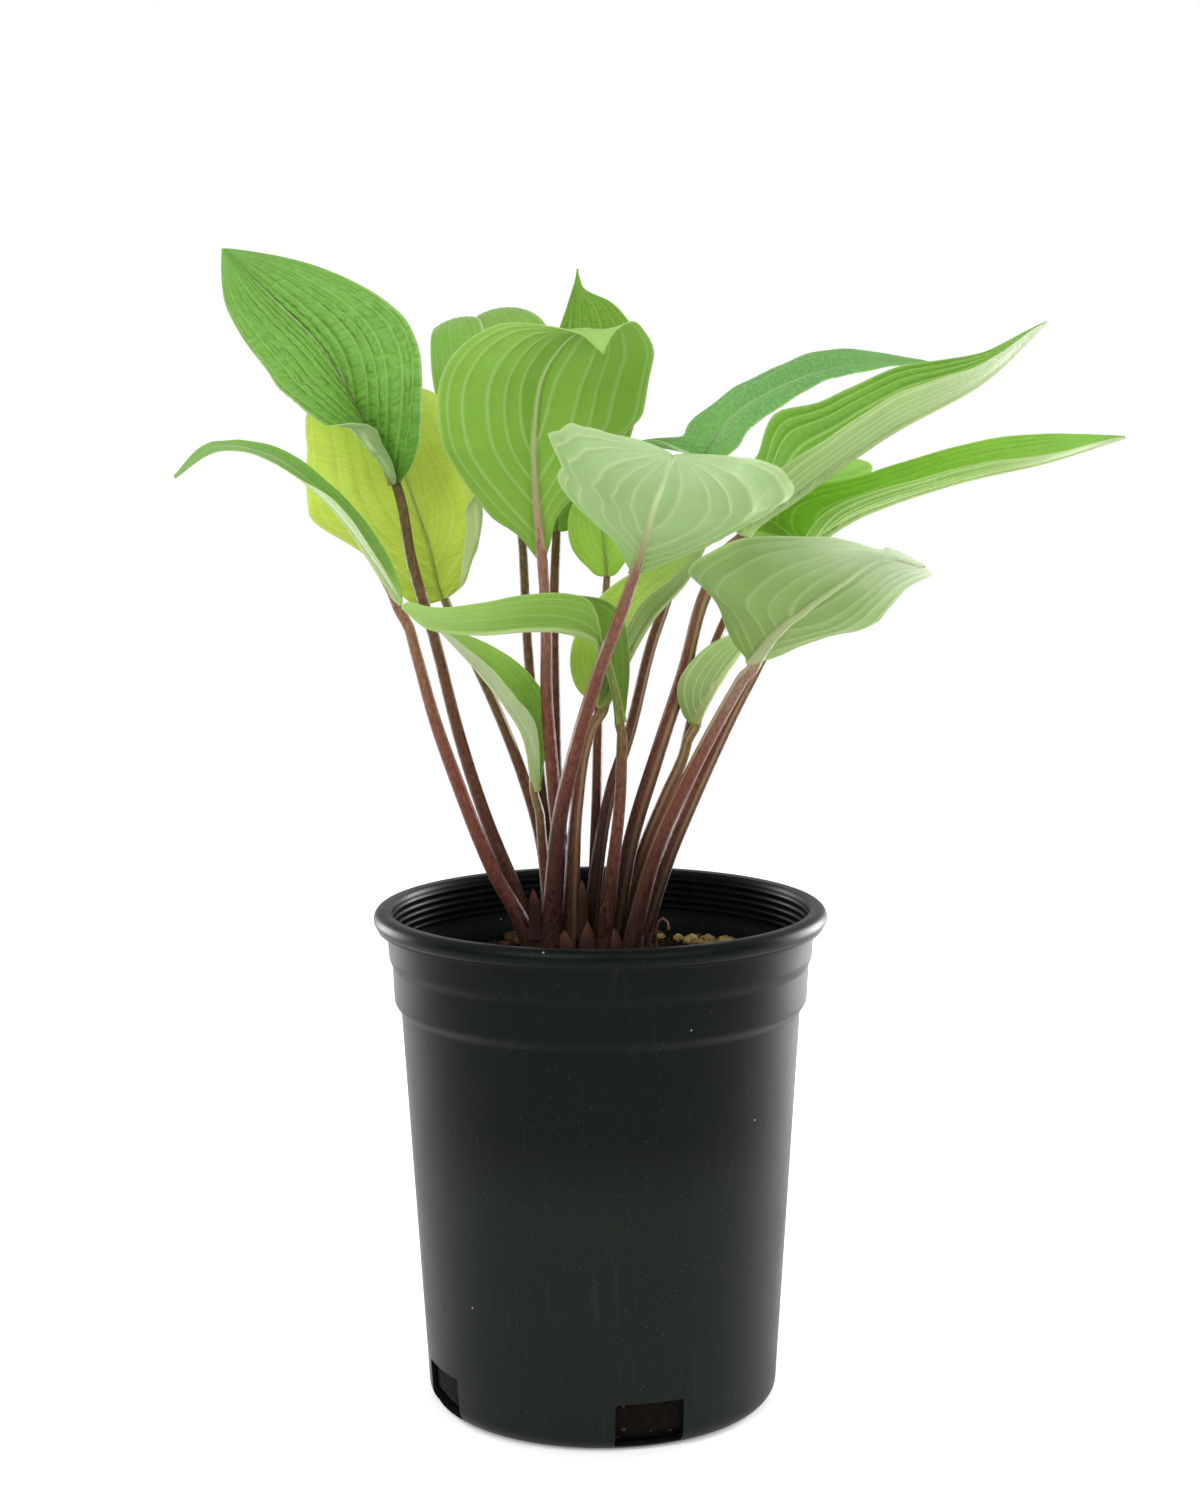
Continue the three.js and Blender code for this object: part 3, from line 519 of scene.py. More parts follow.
# Each leaf is given as it grows, in millimetres, with the same line, margins and girths as its
# solid. "line" runs from the soil to the tip, and its point "base" is where the blade begins;
# "girth" is how thick the stalk is at the soil and at the blade; "left" and "right" are the ways
# from the rib to the margins. "heel" and "taper" shape the outline's two ends, "cup" hollows each
# half and "wave" ripples its margin. An edge lists places along the blade, the share of the
# outline's width there and, where the margin lifts, by how much. A roll gives where it starts and
# ends along the blade, from which share of the width, its radius and the angle where it stops.
# "up" and "down" are the faces' colours from base to tip, and "tones" the stalk's colours halfway
# and at the blade and then the rib's. "veins" counts the veins of a half; "pucker", "lines",
# "blister" and "hatch" are how strongly the tissue swells between them, and how strongly the
# veins, the blisters and the small cross veins show.
LEAVES = [
    dict(name="leaf_tall_left", girth=(5.8, 3.8), base=6, heel=0.6, taper=1.0, cup=-0.1, wave=0.8,
         line=[(-20.8, -1.6, 158), (-29, -1, 185), (-41, 1, 215), (-50.5, 3, 245), (-59, 4, 280),
               (-67, 3, 309), (-72, 2, 337), (-85, 5, 362), (-98, 9, 384), (-119, 16, 405),
               (-135, 20, 421)],
         left=[(-11, -24, 7), (-23, -14, -8), (-27, -5, -12)],
         right=[(18, -16, 5), (31, -6, 13), (34, 4, 19)],
         up=((84, 138, 36), (110, 162, 62), (104, 154, 62)),
         down=((150, 178, 118), (160, 186, 126), (160, 186, 126)),
         veins=7, pucker=0.5, lines=0.45, blister=1.0,
         left_edge=[(0, 1.9), (0.06, 1.85), (0.11, 1.5), (0.18, 1.02), (0.3, 1), (0.42, 0.96), (0.5, 0.86),
                    (0.6, 0.93), (1, 1)],
         left_roll=(-0.12, 0.2, 0.55, 1.3, 2.8), tones=((88, 52, 32), (84, 82, 38), (138, 126, 62))),
    dict(name="leaf_low_left", girth=(6, 3.8), base=6, heel=0.6, taper=1.0, cup=0.1, wave=0.4,
         line=[(-21.4, -9.2, 158), (-29, -9, 180), (-39, -9, 199), (-52, -10, 233), (-59, -11, 254),
               (-65, -12, 277), (-70, -13, 295), (-82, -15, 316), (-96, -18, 334), (-115, -20, 348),
               (-134, -22, 351), (-148, -24, 341)],
         left=[(2, -12, 1), (1, -11, 1)], right=[(4, 14, 2), (2, 13, 2), (1, 11, 4)],
         up=((130, 172, 80), (112, 160, 66), (128, 172, 88)),
         down=((160, 182, 128), (172, 196, 142), (186, 206, 160)), veins=4, pucker=0.25, lines=0.35,
         left_edge=[(0, 1), (0.38, 1), (0.5, 1, -2.2), (0.8, 1, -2.5), (1, 1, -1)],
         right_edge=[(0, 1), (0.7, 1), (0.745, 1.25), (0.765, 0.7), (0.82, 1.3, 0.6), (0.9, 1.7, 1),
                     (1, 1)],
         tones=((108, 55, 40), (130, 100, 70), (170, 190, 120))),
    # This leaf's upper face is its own green with painted light that shines through the blade from behind,
    # which makes it yellower.
    dict(name="leaf_back_left", girth=(5, 3.6), base=6, heel=0.45, taper=0.6, cup=-0.1, wave=1.4,
         line=[(-18.5, 10.5, 158), (-19.5, 10.5, 190), (-22.5, 11, 210), (-28, 12.5, 229), (-36, 15, 250),
               (-46, 18, 272), (-57, 20, 294), (-62, 22, 314), (-70, 27, 337), (-77, 36, 357),
               (-83, 48, 374)],
         left=[(-44, 2, 5), (-38, 4, 12), (-32, 6, 14)], right=[(18, -14, 6), (25, -8, 8), (24, -6, 4)],
         up=((146, 170, 44), (190, 210, 78), (192, 212, 86)),
         down=((160, 180, 120), (170, 192, 124), (170, 192, 120)), veins=5, pucker=0.35, lines=0.5,
         left_edge=[(0, 0.8), (0.1, 0.6), (0.18, 0.8), (0.24, 1.12), (0.32, 1.06), (0.5, 1), (0.65, 1.08),
                    (0.8, 1.1), (1, 1)],
         right_edge=[(0, 1.6), (0.1, 1.34), (0.2, 1.42), (0.33, 1.44), (0.45, 1.1), (0.7, 1), (0.85, 1.55),
                     (1, 1.4)],
         right_roll=(-0.15, 0.46, 0.7, 1.6, 2.9), tones=((84, 48, 27), (98, 98, 40), (150, 165, 70))),
    dict(name="leaf_centre", girth=(5.8, 4.2), base=5, heel=0.75, taper=0.6, cup=0.1, wave=1.0,
         line=[(-12.5, -5.5, 158), (-15, -5.5, 205), (-17.5, -6, 238), (-19, -7, 262), (-19, -7, 285),
               (-20, -8, 310), (-22, -12, 335), (-22, -22, 356), (-18, -36, 377), (-5, -50, 391),
               (2, -62, 383)],
         left=[(22, -6, 4), (37, -4, 5), (41, -2, 0), (14, -4, 8)],
         right=[(-26, -4, 3), (-36, 0, 1), (-42, 2, 6)],
         up=((120, 166, 60), (134, 176, 76), (150, 190, 98)),
         down=((122, 162, 57), (124, 172, 56), (143, 187, 84)), veins=5, pucker=0.5, lines=0.38,
         left_edge=[(0, 0.5), (0.1, 0.34), (0.2, 0.72), (0.35, 0.85), (0.4, 0.99), (0.6, 1.02), (0.68, 1.0),
                    (0.8, 0.9), (0.9, 0.78), (1, 0.7)],
         right_edge=[(0, 0.7), (0.05, 0.55), (0.1, 0.95), (0.4, 0.98), (0.7, 1.03), (0.8, 0.96), (0.9, 0.2),
                     (1, 0.2)],
         tones=((112, 62, 46), (150, 112, 98), (168, 132, 118))),
    dict(name="leaf_strap", girth=(5, 3.6), base=4, heel=1.1, taper=0.5, cup=0.12, wave=0.5,
         line=[(-0.5, -14.5, 158), (4.5, -15.5, 199), (7.2, -17, 224), (8, -20, 245), (8, -21, 253),
               (5, -25, 269), (0, -31, 283), (-11, -37, 288), (-24, -41, 289), (-41, -44, 288),
               (-58, -45, 290), (-67, -45, 297)],
         left=[(-8, -8, 6), (0, -6, 13), (2, -5, 13), (2, -5, 11)],
         right=[(12, 3, 12), (6, 5, 12), (0, 8, 10), (0, 8, 8)],
         up=((82, 112, 22), (94, 133, 30), (108, 144, 44)),
         down=((104, 140, 48), (124, 166, 64), (150, 186, 98)), veins=4, pucker=0.2, lines=0.25,
         tones=((98, 53, 35), (104, 100, 48), (140, 165, 80))),
    dict(name="leaf_front", girth=(6.6, 3.8), base=5, heel=0.8, taper=0.7, cup=0.1, wave=1.2,
         line=[(-19, -16.5, 158), (-15, -20, 215), (-9, -28, 243), (0, -42, 274), (9, -54, 299),
               (12, -59, 309), (15, -68, 319), (18, -90, 332), (21, -114, 342), (23, -140, 351)],
         left=[(28, 2, 3), (27, 2, 3), (33, 2, 4), (43, 2, 6), (45, 2, 7), (48, 3, 7.5), (47, 4, 8.5),
               (45, 5, 9), (40, 6, 8)],
         right=[(-9, -1, 2), (-9, -1, 3), (-14, -1, 5), (-26, -1, 15), (-34, 0, 26), (-33, 1, 26),
                (-31, 1, 25), (-26, 2, 21), (-24, 2, 20)],
         up=((124, 166, 70), (128, 172, 70), (136, 178, 84)),
         down=((133, 166, 94), (152, 183, 120), (163, 191, 139)), veins=5, pucker=0.8, lines=0.4,
         left_edge=[(0, 1), (0.33, 1), (0.4, 1.03), (0.5, 1.07), (0.6, 1), (0.75, 0.97), (1, 1)],
         right_edge=[(0, 1), (0.2, 1), (0.27, 1.18), (0.34, 1.26), (0.41, 1.03), (0.43, 0.93), (0.445, 0.9),
                     (0.455, 1.15), (0.475, 1.15), (0.5, 0.97), (0.6, 1), (1, 1)],
         tones=((104, 57, 40), (128, 92, 74), (148, 108, 90))),
    dict(name="leaf_folded", girth=(5.6, 4), base=4, heel=0.6, taper=1.0, cup=0.1, wave=0.5,
         line=[(-11.5, -13, 158), (-9.5, -14, 206), (-8, -15, 224), (-5, -16, 244), (0, -17, 258),
               (8, -15, 273), (18, -11, 289), (31, -6, 303), (39, 0, 317)],
         left=[(-20, 4, 6), (-14, 6, 14)], right=[(-3, -9, 5), (-6, -8, 4)],
         up=((150, 180, 66), (152, 182, 70), (134, 163, 78)),
         down=((100, 124, 50), (112, 138, 68), (134, 158, 96)), veins=4, pucker=0.25, lines=0.3,
         tones=((106, 58, 42), (112, 92, 52), (130, 140, 70))),
    dict(name="leaf_small_centre", girth=(4.4, 3), base=4, heel=0.5, taper=1.0, cup=-0.1, wave=0.5,
         line=[(-3, 5.5, 158), (-1, 7, 221), (0, 8, 258), (2, 8, 287), (3, 8, 303), (2, 7, 314),
               (0, 4, 328), (-2, 0, 342)],
         left=[(-13, -3, 3), (-12, -2, 3)], right=[(10, -6, 3), (10, -5, 3)],
         up=((150, 192, 66), (156, 200, 72), (156, 200, 84)),
         down=((140, 180, 80), (150, 188, 92), (150, 188, 92)), veins=5, pucker=0.3, lines=0.9,
         tones=((96, 52, 35), (96, 92, 44), (150, 175, 90))),
    dict(name="leaf_blue_right", girth=(5, 3.6), base=7, heel=0.4, taper=1.0, cup=-0.1, wave=0.7,
         line=[(-5.5, -3.5, 158), (0, 0, 205), (4.3, 2, 226), (11, 6, 246), (19, 12, 277), (25, 16, 294),
               (34, 22, 326), (38, 26, 343), (50, 32, 359), (73, 38, 372), (97, 44, 378), (125, 50, 379)],
         left=[(-38, 12, -4), (-7, 16, 4), (-5, 16, 5), (-3, 16, 9), (-2, 14, 10)],
         right=[(5, -17, -3), (3, -17, -3)], up=((110, 162, 80), (100, 154, 78), (112, 164, 86)),
         down=((140, 180, 120), (148, 188, 128), (150, 190, 130)), veins=6, pucker=0.5, lines=0.25,
         blister=0.4, hatch=1.5,
         left_edge=[(0, 1, 8), (0.05, 1.3, 10), (0.08, 1.15, 9), (0.105, 0.62, 3), (0.13, 0.62), (0.2, 1),
                    (0.4, 1.1), (0.5, 1.25), (0.6, 1.25), (0.7, 1.1), (1, 1)],
         right_edge=[(0, 1), (0.08, 1.5), (0.16, 1.6), (0.24, 1.2), (0.4, 1), (1, 1)],
         tones=((92, 52, 34), (88, 92, 46), (140, 170, 100))),
    dict(name="leaf_high_right", girth=(6.8, 4.8), base=5, heel=0.45, taper=1.1, cup=0.1, wave=0.9,
         line=[(2.5, -6.5, 158), (11.5, -6, 209), (21, -5, 240), (30.5, -3, 269), (38, 0, 296),
               (51, 2, 319), (71, 0, 333), (103, -6, 355), (135, -14, 373), (156, -20, 393)],
         left=[(-13, 14, 20), (-10, 14, 20), (-4, 12, 18)], right=[(-6, -20, 11), (-3, -16, 10)],
         up=((112, 160, 46), (112, 162, 48), (136, 178, 84)),
         down=((152, 184, 104), (168, 196, 130), (210, 222, 194)), veins=6, pucker=0.7, lines=1.1,
         left_edge=[(0, 1), (0.2, 0.83), (0.3, 1.22), (0.4, 0.93), (0.5, 0.93), (0.6, 1), (0.7, 0.87),
                    (0.8, 0.75), (0.9, 0.9), (1, 1)],
         tones=((100, 53, 38), (112, 84, 56), (170, 190, 130))),
    dict(name="leaf_long_right", girth=(5.6, 4), base=5, heel=0.35, taper=1.0, cup=0.1, wave=0.5,
         line=[(10.5, -4, 158), (24.5, -1.5, 200), (33, 1, 220), (47, 5, 250), (62, 9, 279), (76, 12, 312),
               (90, 12, 323), (127, 14, 336), (164, 18, 344), (192, 22, 352)],
         left=[(-44, 10, 2), (-26, 10, 14), (-7, 8, 9), (-5, 10, 11), (-2, 12, 14.5), (0, 11, 16),
               (0, 10, 16)],
         right=[(-4, -16, 8), (-2, -17, 7), (-1, -17, 4.8), (0, -14, 4.2), (0, -10, 4)],
         up=((128, 180, 44), (132, 184, 48), (134, 184, 78)),
         down=((112, 160, 40), (132, 172, 76), (188, 204, 160)), veins=6, pucker=0.6, lines=0.8,
         tones=((92, 46, 32), (110, 82, 56), (170, 190, 130))),
    dict(name="leaf_back_right", girth=(4.4, 3.2), base=4, heel=0.5, taper=0.6, cup=-0.1, wave=0.4,
         line=[(10.5, 8.5, 158), (27, 14, 220), (37, 19, 260), (46, 24, 284), (60, 29, 309), (71, 33, 322),
               (84, 38, 334), (102, 44, 341)],
         left=[(-9, 8, 11), (-7, 8, 11)], right=[(8, -8, -8), (6, -8, -8)],
         up=((142, 182, 84), (148, 188, 92), (152, 190, 96)),
         down=((150, 184, 104), (156, 188, 110), (156, 188, 110)), veins=5, pucker=0.25, lines=0.4,
         tones=((96, 52, 35), (104, 92, 46), (150, 175, 90))),
    dict(name="leaf_front_right", girth=(6, 4.4), base=4, heel=0.75, taper=0.45, cup=0.1, wave=1.0,
         line=[(7.5, -13, 158), (20, -15, 206), (33, -20, 236), (46, -28, 262), (53, -35, 275),
               (61, -43, 287), (71, -56, 297), (82, -72, 307), (93, -88, 316), (105, -102, 314)],
         left=[(10, 24, -6), (14, 22, -6.5), (22, 16, -9), (19, 15, -9.6), (21, 9, -9.6), (12, 6, -7)],
         right=[(-19, 4, 8), (-23, 5, 10), (-38, 6, 16), (-34.5, 7, 15.3), (-16, 6, 8.5), (-8, 6, 6)],
         up=((126, 164, 66), (130, 170, 72), (138, 176, 86)),
         down=((124, 150, 76), (136, 166, 95), (202, 216, 186)), veins=5, pucker=0.5, lines=0.3,
         left_edge=[(0, 1), (0.7, 1), (0.8, 1.1), (0.88, 1.18), (0.94, 1.1), (1, 0.7)],
         right_edge=[(0, 1), (0.22, 1), (0.3, 1.17), (0.4, 1), (0.79, 1), (0.84, 0.5), (0.87, 0.4),
                     (0.91, 1.1), (0.95, 1.5), (0.98, 2), (1, 1.8)],
         tones=((112, 62, 45), (150, 132, 108), (178, 180, 140))),
    dict(name="leaf_small_right", girth=(5.2, 3.6), base=4, heel=0.6, taper=1.0, cup=0.1, wave=0.4,
         line=[(5, 1.5, 158), (15, 0, 201), (23.5, -2, 223), (30, -3.5, 238), (33.5, -6, 251),
               (40, -8, 263), (49, -9, 276), (58, -8, 287)],
         left=[(-8, 9, 5), (-6, 9, 6)], right=[(-11, -4, 7), (-8, -5, 8)],
         up=((122, 144, 70), (136, 168, 84), (142, 174, 92)),
         down=((126, 150, 78), (146, 174, 104), (152, 180, 112)), veins=4, pucker=0.2, lines=0.6,
         tones=((112, 62, 45), (128, 112, 68), (140, 150, 84))),
    dict(name="leaf_back_centre", girth=(5, 3.6), base=4, heel=0.5, taper=0.7, cup=-0.1, wave=1.0,
         line=[(-13, 17, 158), (-21, 17, 221), (-24, 17, 252), (-26, 17, 279), (-28, 20, 319),
               (-33, 32, 352), (-39, 46, 378), (-45, 68, 396), (-50, 98, 392)],
         left=[(-20, 0, -4), (-26, -4, -7)], right=[(24, 2, 4), (28, 2, 6)],
         up=((114, 160, 59), (120, 165, 64), (123, 167, 69)),
         down=((150, 184, 112), (156, 188, 116), (156, 188, 116)), veins=6, pucker=0.6, lines=0.4,
         tones=((78, 46, 29), (76, 72, 32), (130, 155, 70))),
    dict(name="leaf_top", girth=(5, 3.6), base=4, heel=0.5, taper=1.2, cup=-0.08, wave=0.6,
         line=[(-7.5, 13, 158), (-15, 14.5, 220), (-16, 14, 257), (-16, 13, 294), (-15, 12, 319),
               (-14, 12, 352), (-11, 15, 384), (-7, 18, 413)],
         left=[(-18, -3, 2), (-10, 0, 0), (-5, 0, -2)], right=[(20, -4, 2), (39, -5, 4)],
         up=((101, 147, 31), (97, 145, 28), (106, 153, 35)),
         down=((144, 180, 98), (148, 184, 98), (148, 184, 98)),
         veins=5, pucker=0.6, lines=0.45, blister=0.6,
         right_edge=[(0, 1), (0.5, 1), (0.7, 1.2), (0.84, 1.3), (0.875, 1.15), (0.905, 0.5), (1, 0.6)],
         tones=((78, 46, 29), (76, 68, 32), (130, 155, 70))),
    dict(name="leaf_small_left", girth=(4.6, 3.2), base=2, heel=0.9, taper=0.8, cup=0.1, wave=0.4,
         line=[(-15, 4.5, 158), (-20.5, 2, 200), (-22.5, 0, 226), (-26, -3, 246), (-33, -5, 258),
               (-44, -6, 272), (-56, -6, 285)],
         left=[(4, -8, 4), (3, -8, 4)], right=[(8, 8, 10), (9, 6, 11)],
         up=((142, 180, 88), (136, 180, 70), (150, 184, 92)),
         down=((160, 180, 128), (172, 190, 140), (178, 190, 152)), veins=4, pucker=0.25, lines=0.4,
         tones=((96, 53, 37), (132, 118, 78), (165, 180, 110))),
]
STALK_FOOT_TONE = (34, 12, 8)
ROOT_DEPTH = 9
STALK_SIDES = 18
CHANNEL_DEPTH = 0.3
CHANNEL_WIDTH = 0.42
STALK_STEP = 2.5
FOOT_FLARE = 0.28
FOOT_FLARE_HEIGHT = 40
SINK_HEIGHT = 14
RIB_SHARE = 0.35
RIB_STEPS = 15
RIB_END_RADIUS = 0.6
RIB_SLIMMING = 0.7
# How far a stalk's top and its rib stand into the blade's under face.
STALK_PROUD = 0.25
RIB_PROUD = 0.15


class GrowthLine:
    """The smooth line that a leaf grows along, from the soil at 0 to the tip at 1."""

    def __init__(self, points):
        self.points = [Vector(point) for point in points]

    def point(self, place):
        """The line's point at a place, on a centripetal spline through the given points."""
        last = len(self.points) - 1
        at = min(max(place, 0.0), 1.0) * last
        number = min(int(at), last - 1)
        weight = at - number
        second, third = self.points[number], self.points[number + 1]
        first = self.points[number - 1] if number > 0 else 2 * second - third
        fourth = self.points[number + 2] if number + 2 <= last else 2 * third - second
        gap = max((third - second).length_squared ** 0.25, 1e-4)
        before = (second - first).length_squared ** 0.25 or gap
        after = (fourth - third).length_squared ** 0.25 or gap
        here = (third - second) / gap
        leave = ((second - first) / before - (third - first) / (before + gap) + here) * gap
        arrive = (here - (fourth - second) / (gap + after) + (fourth - third) / after) * gap
        return (second + leave * weight + (-3 * second + 3 * third - 2 * leave - arrive) * weight ** 2
                + (2 * second - 2 * third + leave + arrive) * weight ** 3)

    def ahead(self, place):
        return (self.point(place + 1e-3) - self.point(place - 1e-3)).normalized()

    def length(self, end, steps=60):
        spots = [self.point(end * i / steps) for i in range(steps + 1)]
        return sum((b - a).length for a, b in zip(spots, spots[1:]))


def mix(first, second, weight):
    return first + (second - first) * weight


def smooth_step(low, high, value):
    t = min(max((value - low) / (high - low), 0.0), 1.0)
    return t * t * (3 - 2 * t)


def reach_at(ways, place):
    """The way to a margin at a place along the blade, between the ways that the leaf gives."""
    at = place * (len(ways) - 1)
    number = min(int(at), len(ways) - 2)
    return Vector(ways[number]).lerp(Vector(ways[number + 1]), at - number)


def base_of(leaf):
    return leaf["base"] / (len(leaf["line"]) - 1)


def blade_up(leaf, line, place):
    """The way that the upper face looks at a place along the blade's rib."""
    ahead = line.ahead(mix(base_of(leaf), 1.0, place))
    side = reach_at(leaf["right"], place).normalized() - reach_at(leaf["left"], place).normalized()
    side -= ahead * side.dot(ahead)
    return side.cross(ahead).normalized()


def stalk_rows(leaf):
    """Points, radii, channel directions and places from the root up to the end of the rib's foot."""
    line = GrowthLine(leaf["line"])
    base = base_of(leaf)
    foot, blade = (across / 2 for across in leaf["girth"])
    height = line.length(base)
    down = (line.points[0] - line.points[1]).normalized()
    up = blade_up(leaf, line, 0.02)
    rows = []
    for step in range(3, 0, -1):
        rows.append((line.points[0] + down * ROOT_DEPTH * step / 3, foot * (1 + FOOT_FLARE), up, 0.0))
    steps = int(height / STALK_STEP)
    for step in range(steps + 1):
        part = step / steps
        flare = 1 + FOOT_FLARE * (1 - smooth_step(0, FOOT_FLARE_HEIGHT, part * height))
        radius = mix(foot, blade, part) * flare
        sink = smooth_step(height - SINK_HEIGHT, height, part * height) * (radius - STALK_PROUD)
        rows.append((line.point(base * part) - up * sink, radius, up, part))
    for step in range(1, RIB_STEPS + 1):
        part = step / RIB_STEPS * RIB_SHARE
        radius = mix(blade, RIB_END_RADIUS, (step / RIB_STEPS) ** RIB_SLIMMING)
        facing = blade_up(leaf, line, part)
        under = line.point(mix(base, 1.0, part)) - facing * (radius - RIB_PROUD)
        rows.append((under, radius, facing, 1.0 + part))
    return rows


def stalk_tree():
    """Sweeps a round section with a channel along a line of points that carry their own radius."""
    nodes, given, result = node_group(
        "leaf_stalk", "GeometryNodeTree",
        {"Geometry": "Geometry", "Sides": "Int", "Channel Depth": "Float", "Channel Width": "Float",
         "Material": "Material"}, {"Geometry": "Geometry"})
    facing = nodes.add("GeometryNodeInputNamedAttribute", {"Name": "facing"}, data_type="FLOAT_VECTOR")
    girth = nodes.add("GeometryNodeInputNamedAttribute", {"Name": "girth"}, data_type="FLOAT")
    line = nodes.add("GeometryNodeMeshToCurve", {"Mesh": given["Geometry"]})
    line = nodes.add("GeometryNodeSetCurveNormal", {"Curve": line, "Normal": facing}, mode="FREE")
    section = nodes.add("GeometryNodeCurvePrimitiveCircle", {"Resolution": given["Sides"], "Radius": 1.0},
                        "Curve", mode="RADIUS")
    place = nodes.add("GeometryNodeInputPosition")
    x, y = nodes.add("ShaderNodeSeparateXYZ", {0: place}, slice(0, 2))
    turn = nodes.math("DIVIDE", nodes.math("ARCTAN2", x, y), given["Channel Width"])
    hollow = nodes.math("EXPONENT", nodes.times(nodes.math("POWER", turn, 2.0), -1.0))
    shrink = nodes.math("SUBTRACT", 1.0, nodes.times(hollow, given["Channel Depth"]))
    scaled = nodes.add("ShaderNodeVectorMath", {0: place, "Scale": shrink}, operation="SCALE")
    section = nodes.add("GeometryNodeSetPosition", {"Geometry": section, "Position": scaled})
    section = nodes.add("GeometryNodeStoreNamedAttribute",
                        {"Geometry": section, "Name": "channel", "Value": hollow}, data_type="FLOAT",
                        domain="POINT")
    swept = nodes.add("GeometryNodeCurveToMesh",
                      {"Curve": line, "Profile Curve": section, "Scale": girth, "Fill Caps": True})
    smooth = nodes.add("GeometryNodeSetShadeSmooth", {0: swept})
    real = nodes.add("GeometryNodeRealizeInstances", {0: smooth})
    painted = nodes.add("GeometryNodeSetMaterial", {"Geometry": real, "Material": given["Material"]})
    nodes.feed(result, {0: painted})
    return nodes


def attribute(look, name, output="Fac"):
    return look.add("ShaderNodeAttribute", output=output, attribute_name=name)


def stalk_material(name, tones):
    """The stalk's skin, with its colours at the soil, halfway, at the blade and on the rib."""
    look = Look(name + "_stalk")
    foot, middle, top, rib = [tone(*colour) for colour in tones]
    along, channel = attribute(look, "along"), attribute(look, "channel")
    colour = look.over(foot, middle, look.ramp(along, 0.02, 0.5, smooth=True))
    colour = look.over(colour, top, look.ramp(along, 0.45, 1.0, smooth=True))
    colour = look.over(colour, rib, look.ramp(along, 1.0, 1.3))
    stretched = look.add("ShaderNodeMapping", {"Vector": look.place, "Scale": (1.0, 1.0, 0.4)})
    cloud = mottle(look, 130.0, 2.0, stretched)
    grain = mottle(look, 1100.0, 3.4, stretched)
    dark = look.over(colour, tone(180, 140, 124), 1.0, mode="MULTIPLY")
    light = look.over(colour, tone(196, 124, 92), look.ramp(along, 0.0, 0.45, 0.04, 0.22))
    spotted = look.over(dark, light, grain)
    colour = look.over(colour, spotted, look.ramp(cloud, 0.0, 1.0, 0.35, 0.85))
    # The channel is painted pale tan: partly its own colour, partly a painted highlight along the groove.
    channel_tan_and_highlight = look.times(look.ramp(channel, 0.35, 0.95), look.ramp(along, 0.1, 0.5, 0.1, 0.5))
    colour = look.over(colour, tone(176, 166, 120), channel_tan_and_highlight)
    rough = look.ramp(grain, 0.0, 1.0, 0.42, 0.6)
    return look.finished({"Base Color": colour, "Roughness": rough, "Specular IOR Level": 0.3},
                         grain, 0.00012, 0.6)


STALK_TREE = stalk_tree()


def stalk_body(name, rows, material):
    """The swept body of a stalk, or of a thin root, from its rows."""
    mesh = bpy.data.meshes.new(name)
    mesh.from_pydata([tuple(row[0] * MM) for row in rows], [(i, i + 1) for i in range(len(rows) - 1)], [])
    for label, kind, field, values in (
            ("girth", "FLOAT", "value", [row[1] * MM for row in rows]),
            ("facing", "FLOAT_VECTOR", "vector", [c for row in rows for c in row[2]]),
            ("along", "FLOAT", "value", [row[3] for row in rows])):
        mesh.attributes.new(label, kind, "POINT").data.foreach_set(field, values)
    body = grown(new_object(name, mesh), STALK_TREE, {
        "Sides": STALK_SIDES, "Channel Depth": CHANNEL_DEPTH, "Channel Width": CHANNEL_WIDTH,
        "Material": material})
    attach(body, "root")
    return body


for leaf in LEAVES:
    material = stalk_material(leaf["name"], (STALK_FOOT_TONE, *leaf["tones"]))
    stalk = stalk_body(leaf["name"] + "_stalk", stalk_rows(leaf), material)
    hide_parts(leaf["name"] + "_stem")

# A thin dead root that curls out of the soil beside the stalks.
ROOT_CURL = [(20.3, -10, 155), (20.4, -10, 168), (20.2, -10.5, 176), (21, -10.8, 179.4), (22.6, -11, 180.6),
             (24.2, -11, 179.2), (24.6, -11, 176.4)]
ROOT_RADIUS = 0.5
ROOT_TONES = ((40, 20, 14), (92, 52, 40), (120, 76, 60), (120, 76, 60))
stalk_body("root_curl", [(Vector(point), ROOT_RADIUS, Vector((0, -1, 0)), step / len(ROOT_CURL))
                         for step, point in enumerate(ROOT_CURL)], stalk_material("root_curl", ROOT_TONES))


# The bud scales
# Papery brown scales that once sheathed the buds. They stand around the crown with their feet
# in the soil, dark below and lighter brown at the torn tips, and a few cling higher up between
# the stalks.

# Each scale's foot, then its height, width and outward lean, all in millimetres, and the way it
# faces round the crown, in degrees, with 0 to the front.
BUD_SCALES = [
    ((-23.5, -17, 174), 19, 5.5, 2, -20), ((0.4, -18.8, 176), 11, 2.8, 0.4, 0),
    ((-6.5, -15.5, 174), 22, 5, 1, 5), ((-13, -19, 156), 22, 10, 1, -12),
    ((-4.5, -18, 156), 25, 9, 0.5, 8), ((5, -16, 156), 22, 10, 1, 14),
    ((13, -12, 156), 25, 9, 2, 40), ((-23, -14, 156), 24, 9, 3, -45), ((-26, -4, 156), 20, 9, 3, -80),
    ((17, -3, 156), 21, 9, 3, 78), ((15, 8, 156), 19, 9, 3, 110), ((5, 18, 156), 20, 9, 3, 160),
    ((-8, 22, 156), 19, 9, 3, 185), ((-20, 17, 156), 20, 9, 3, 215),
]
SCALE_THICKNESS = 0.3
SCALE_CURL = 0.22
SCALE_POINT = 3.4
SCALE_TEAR = 0.35
SCALE_ROWS = 8
SCALE_COLUMNS = 6


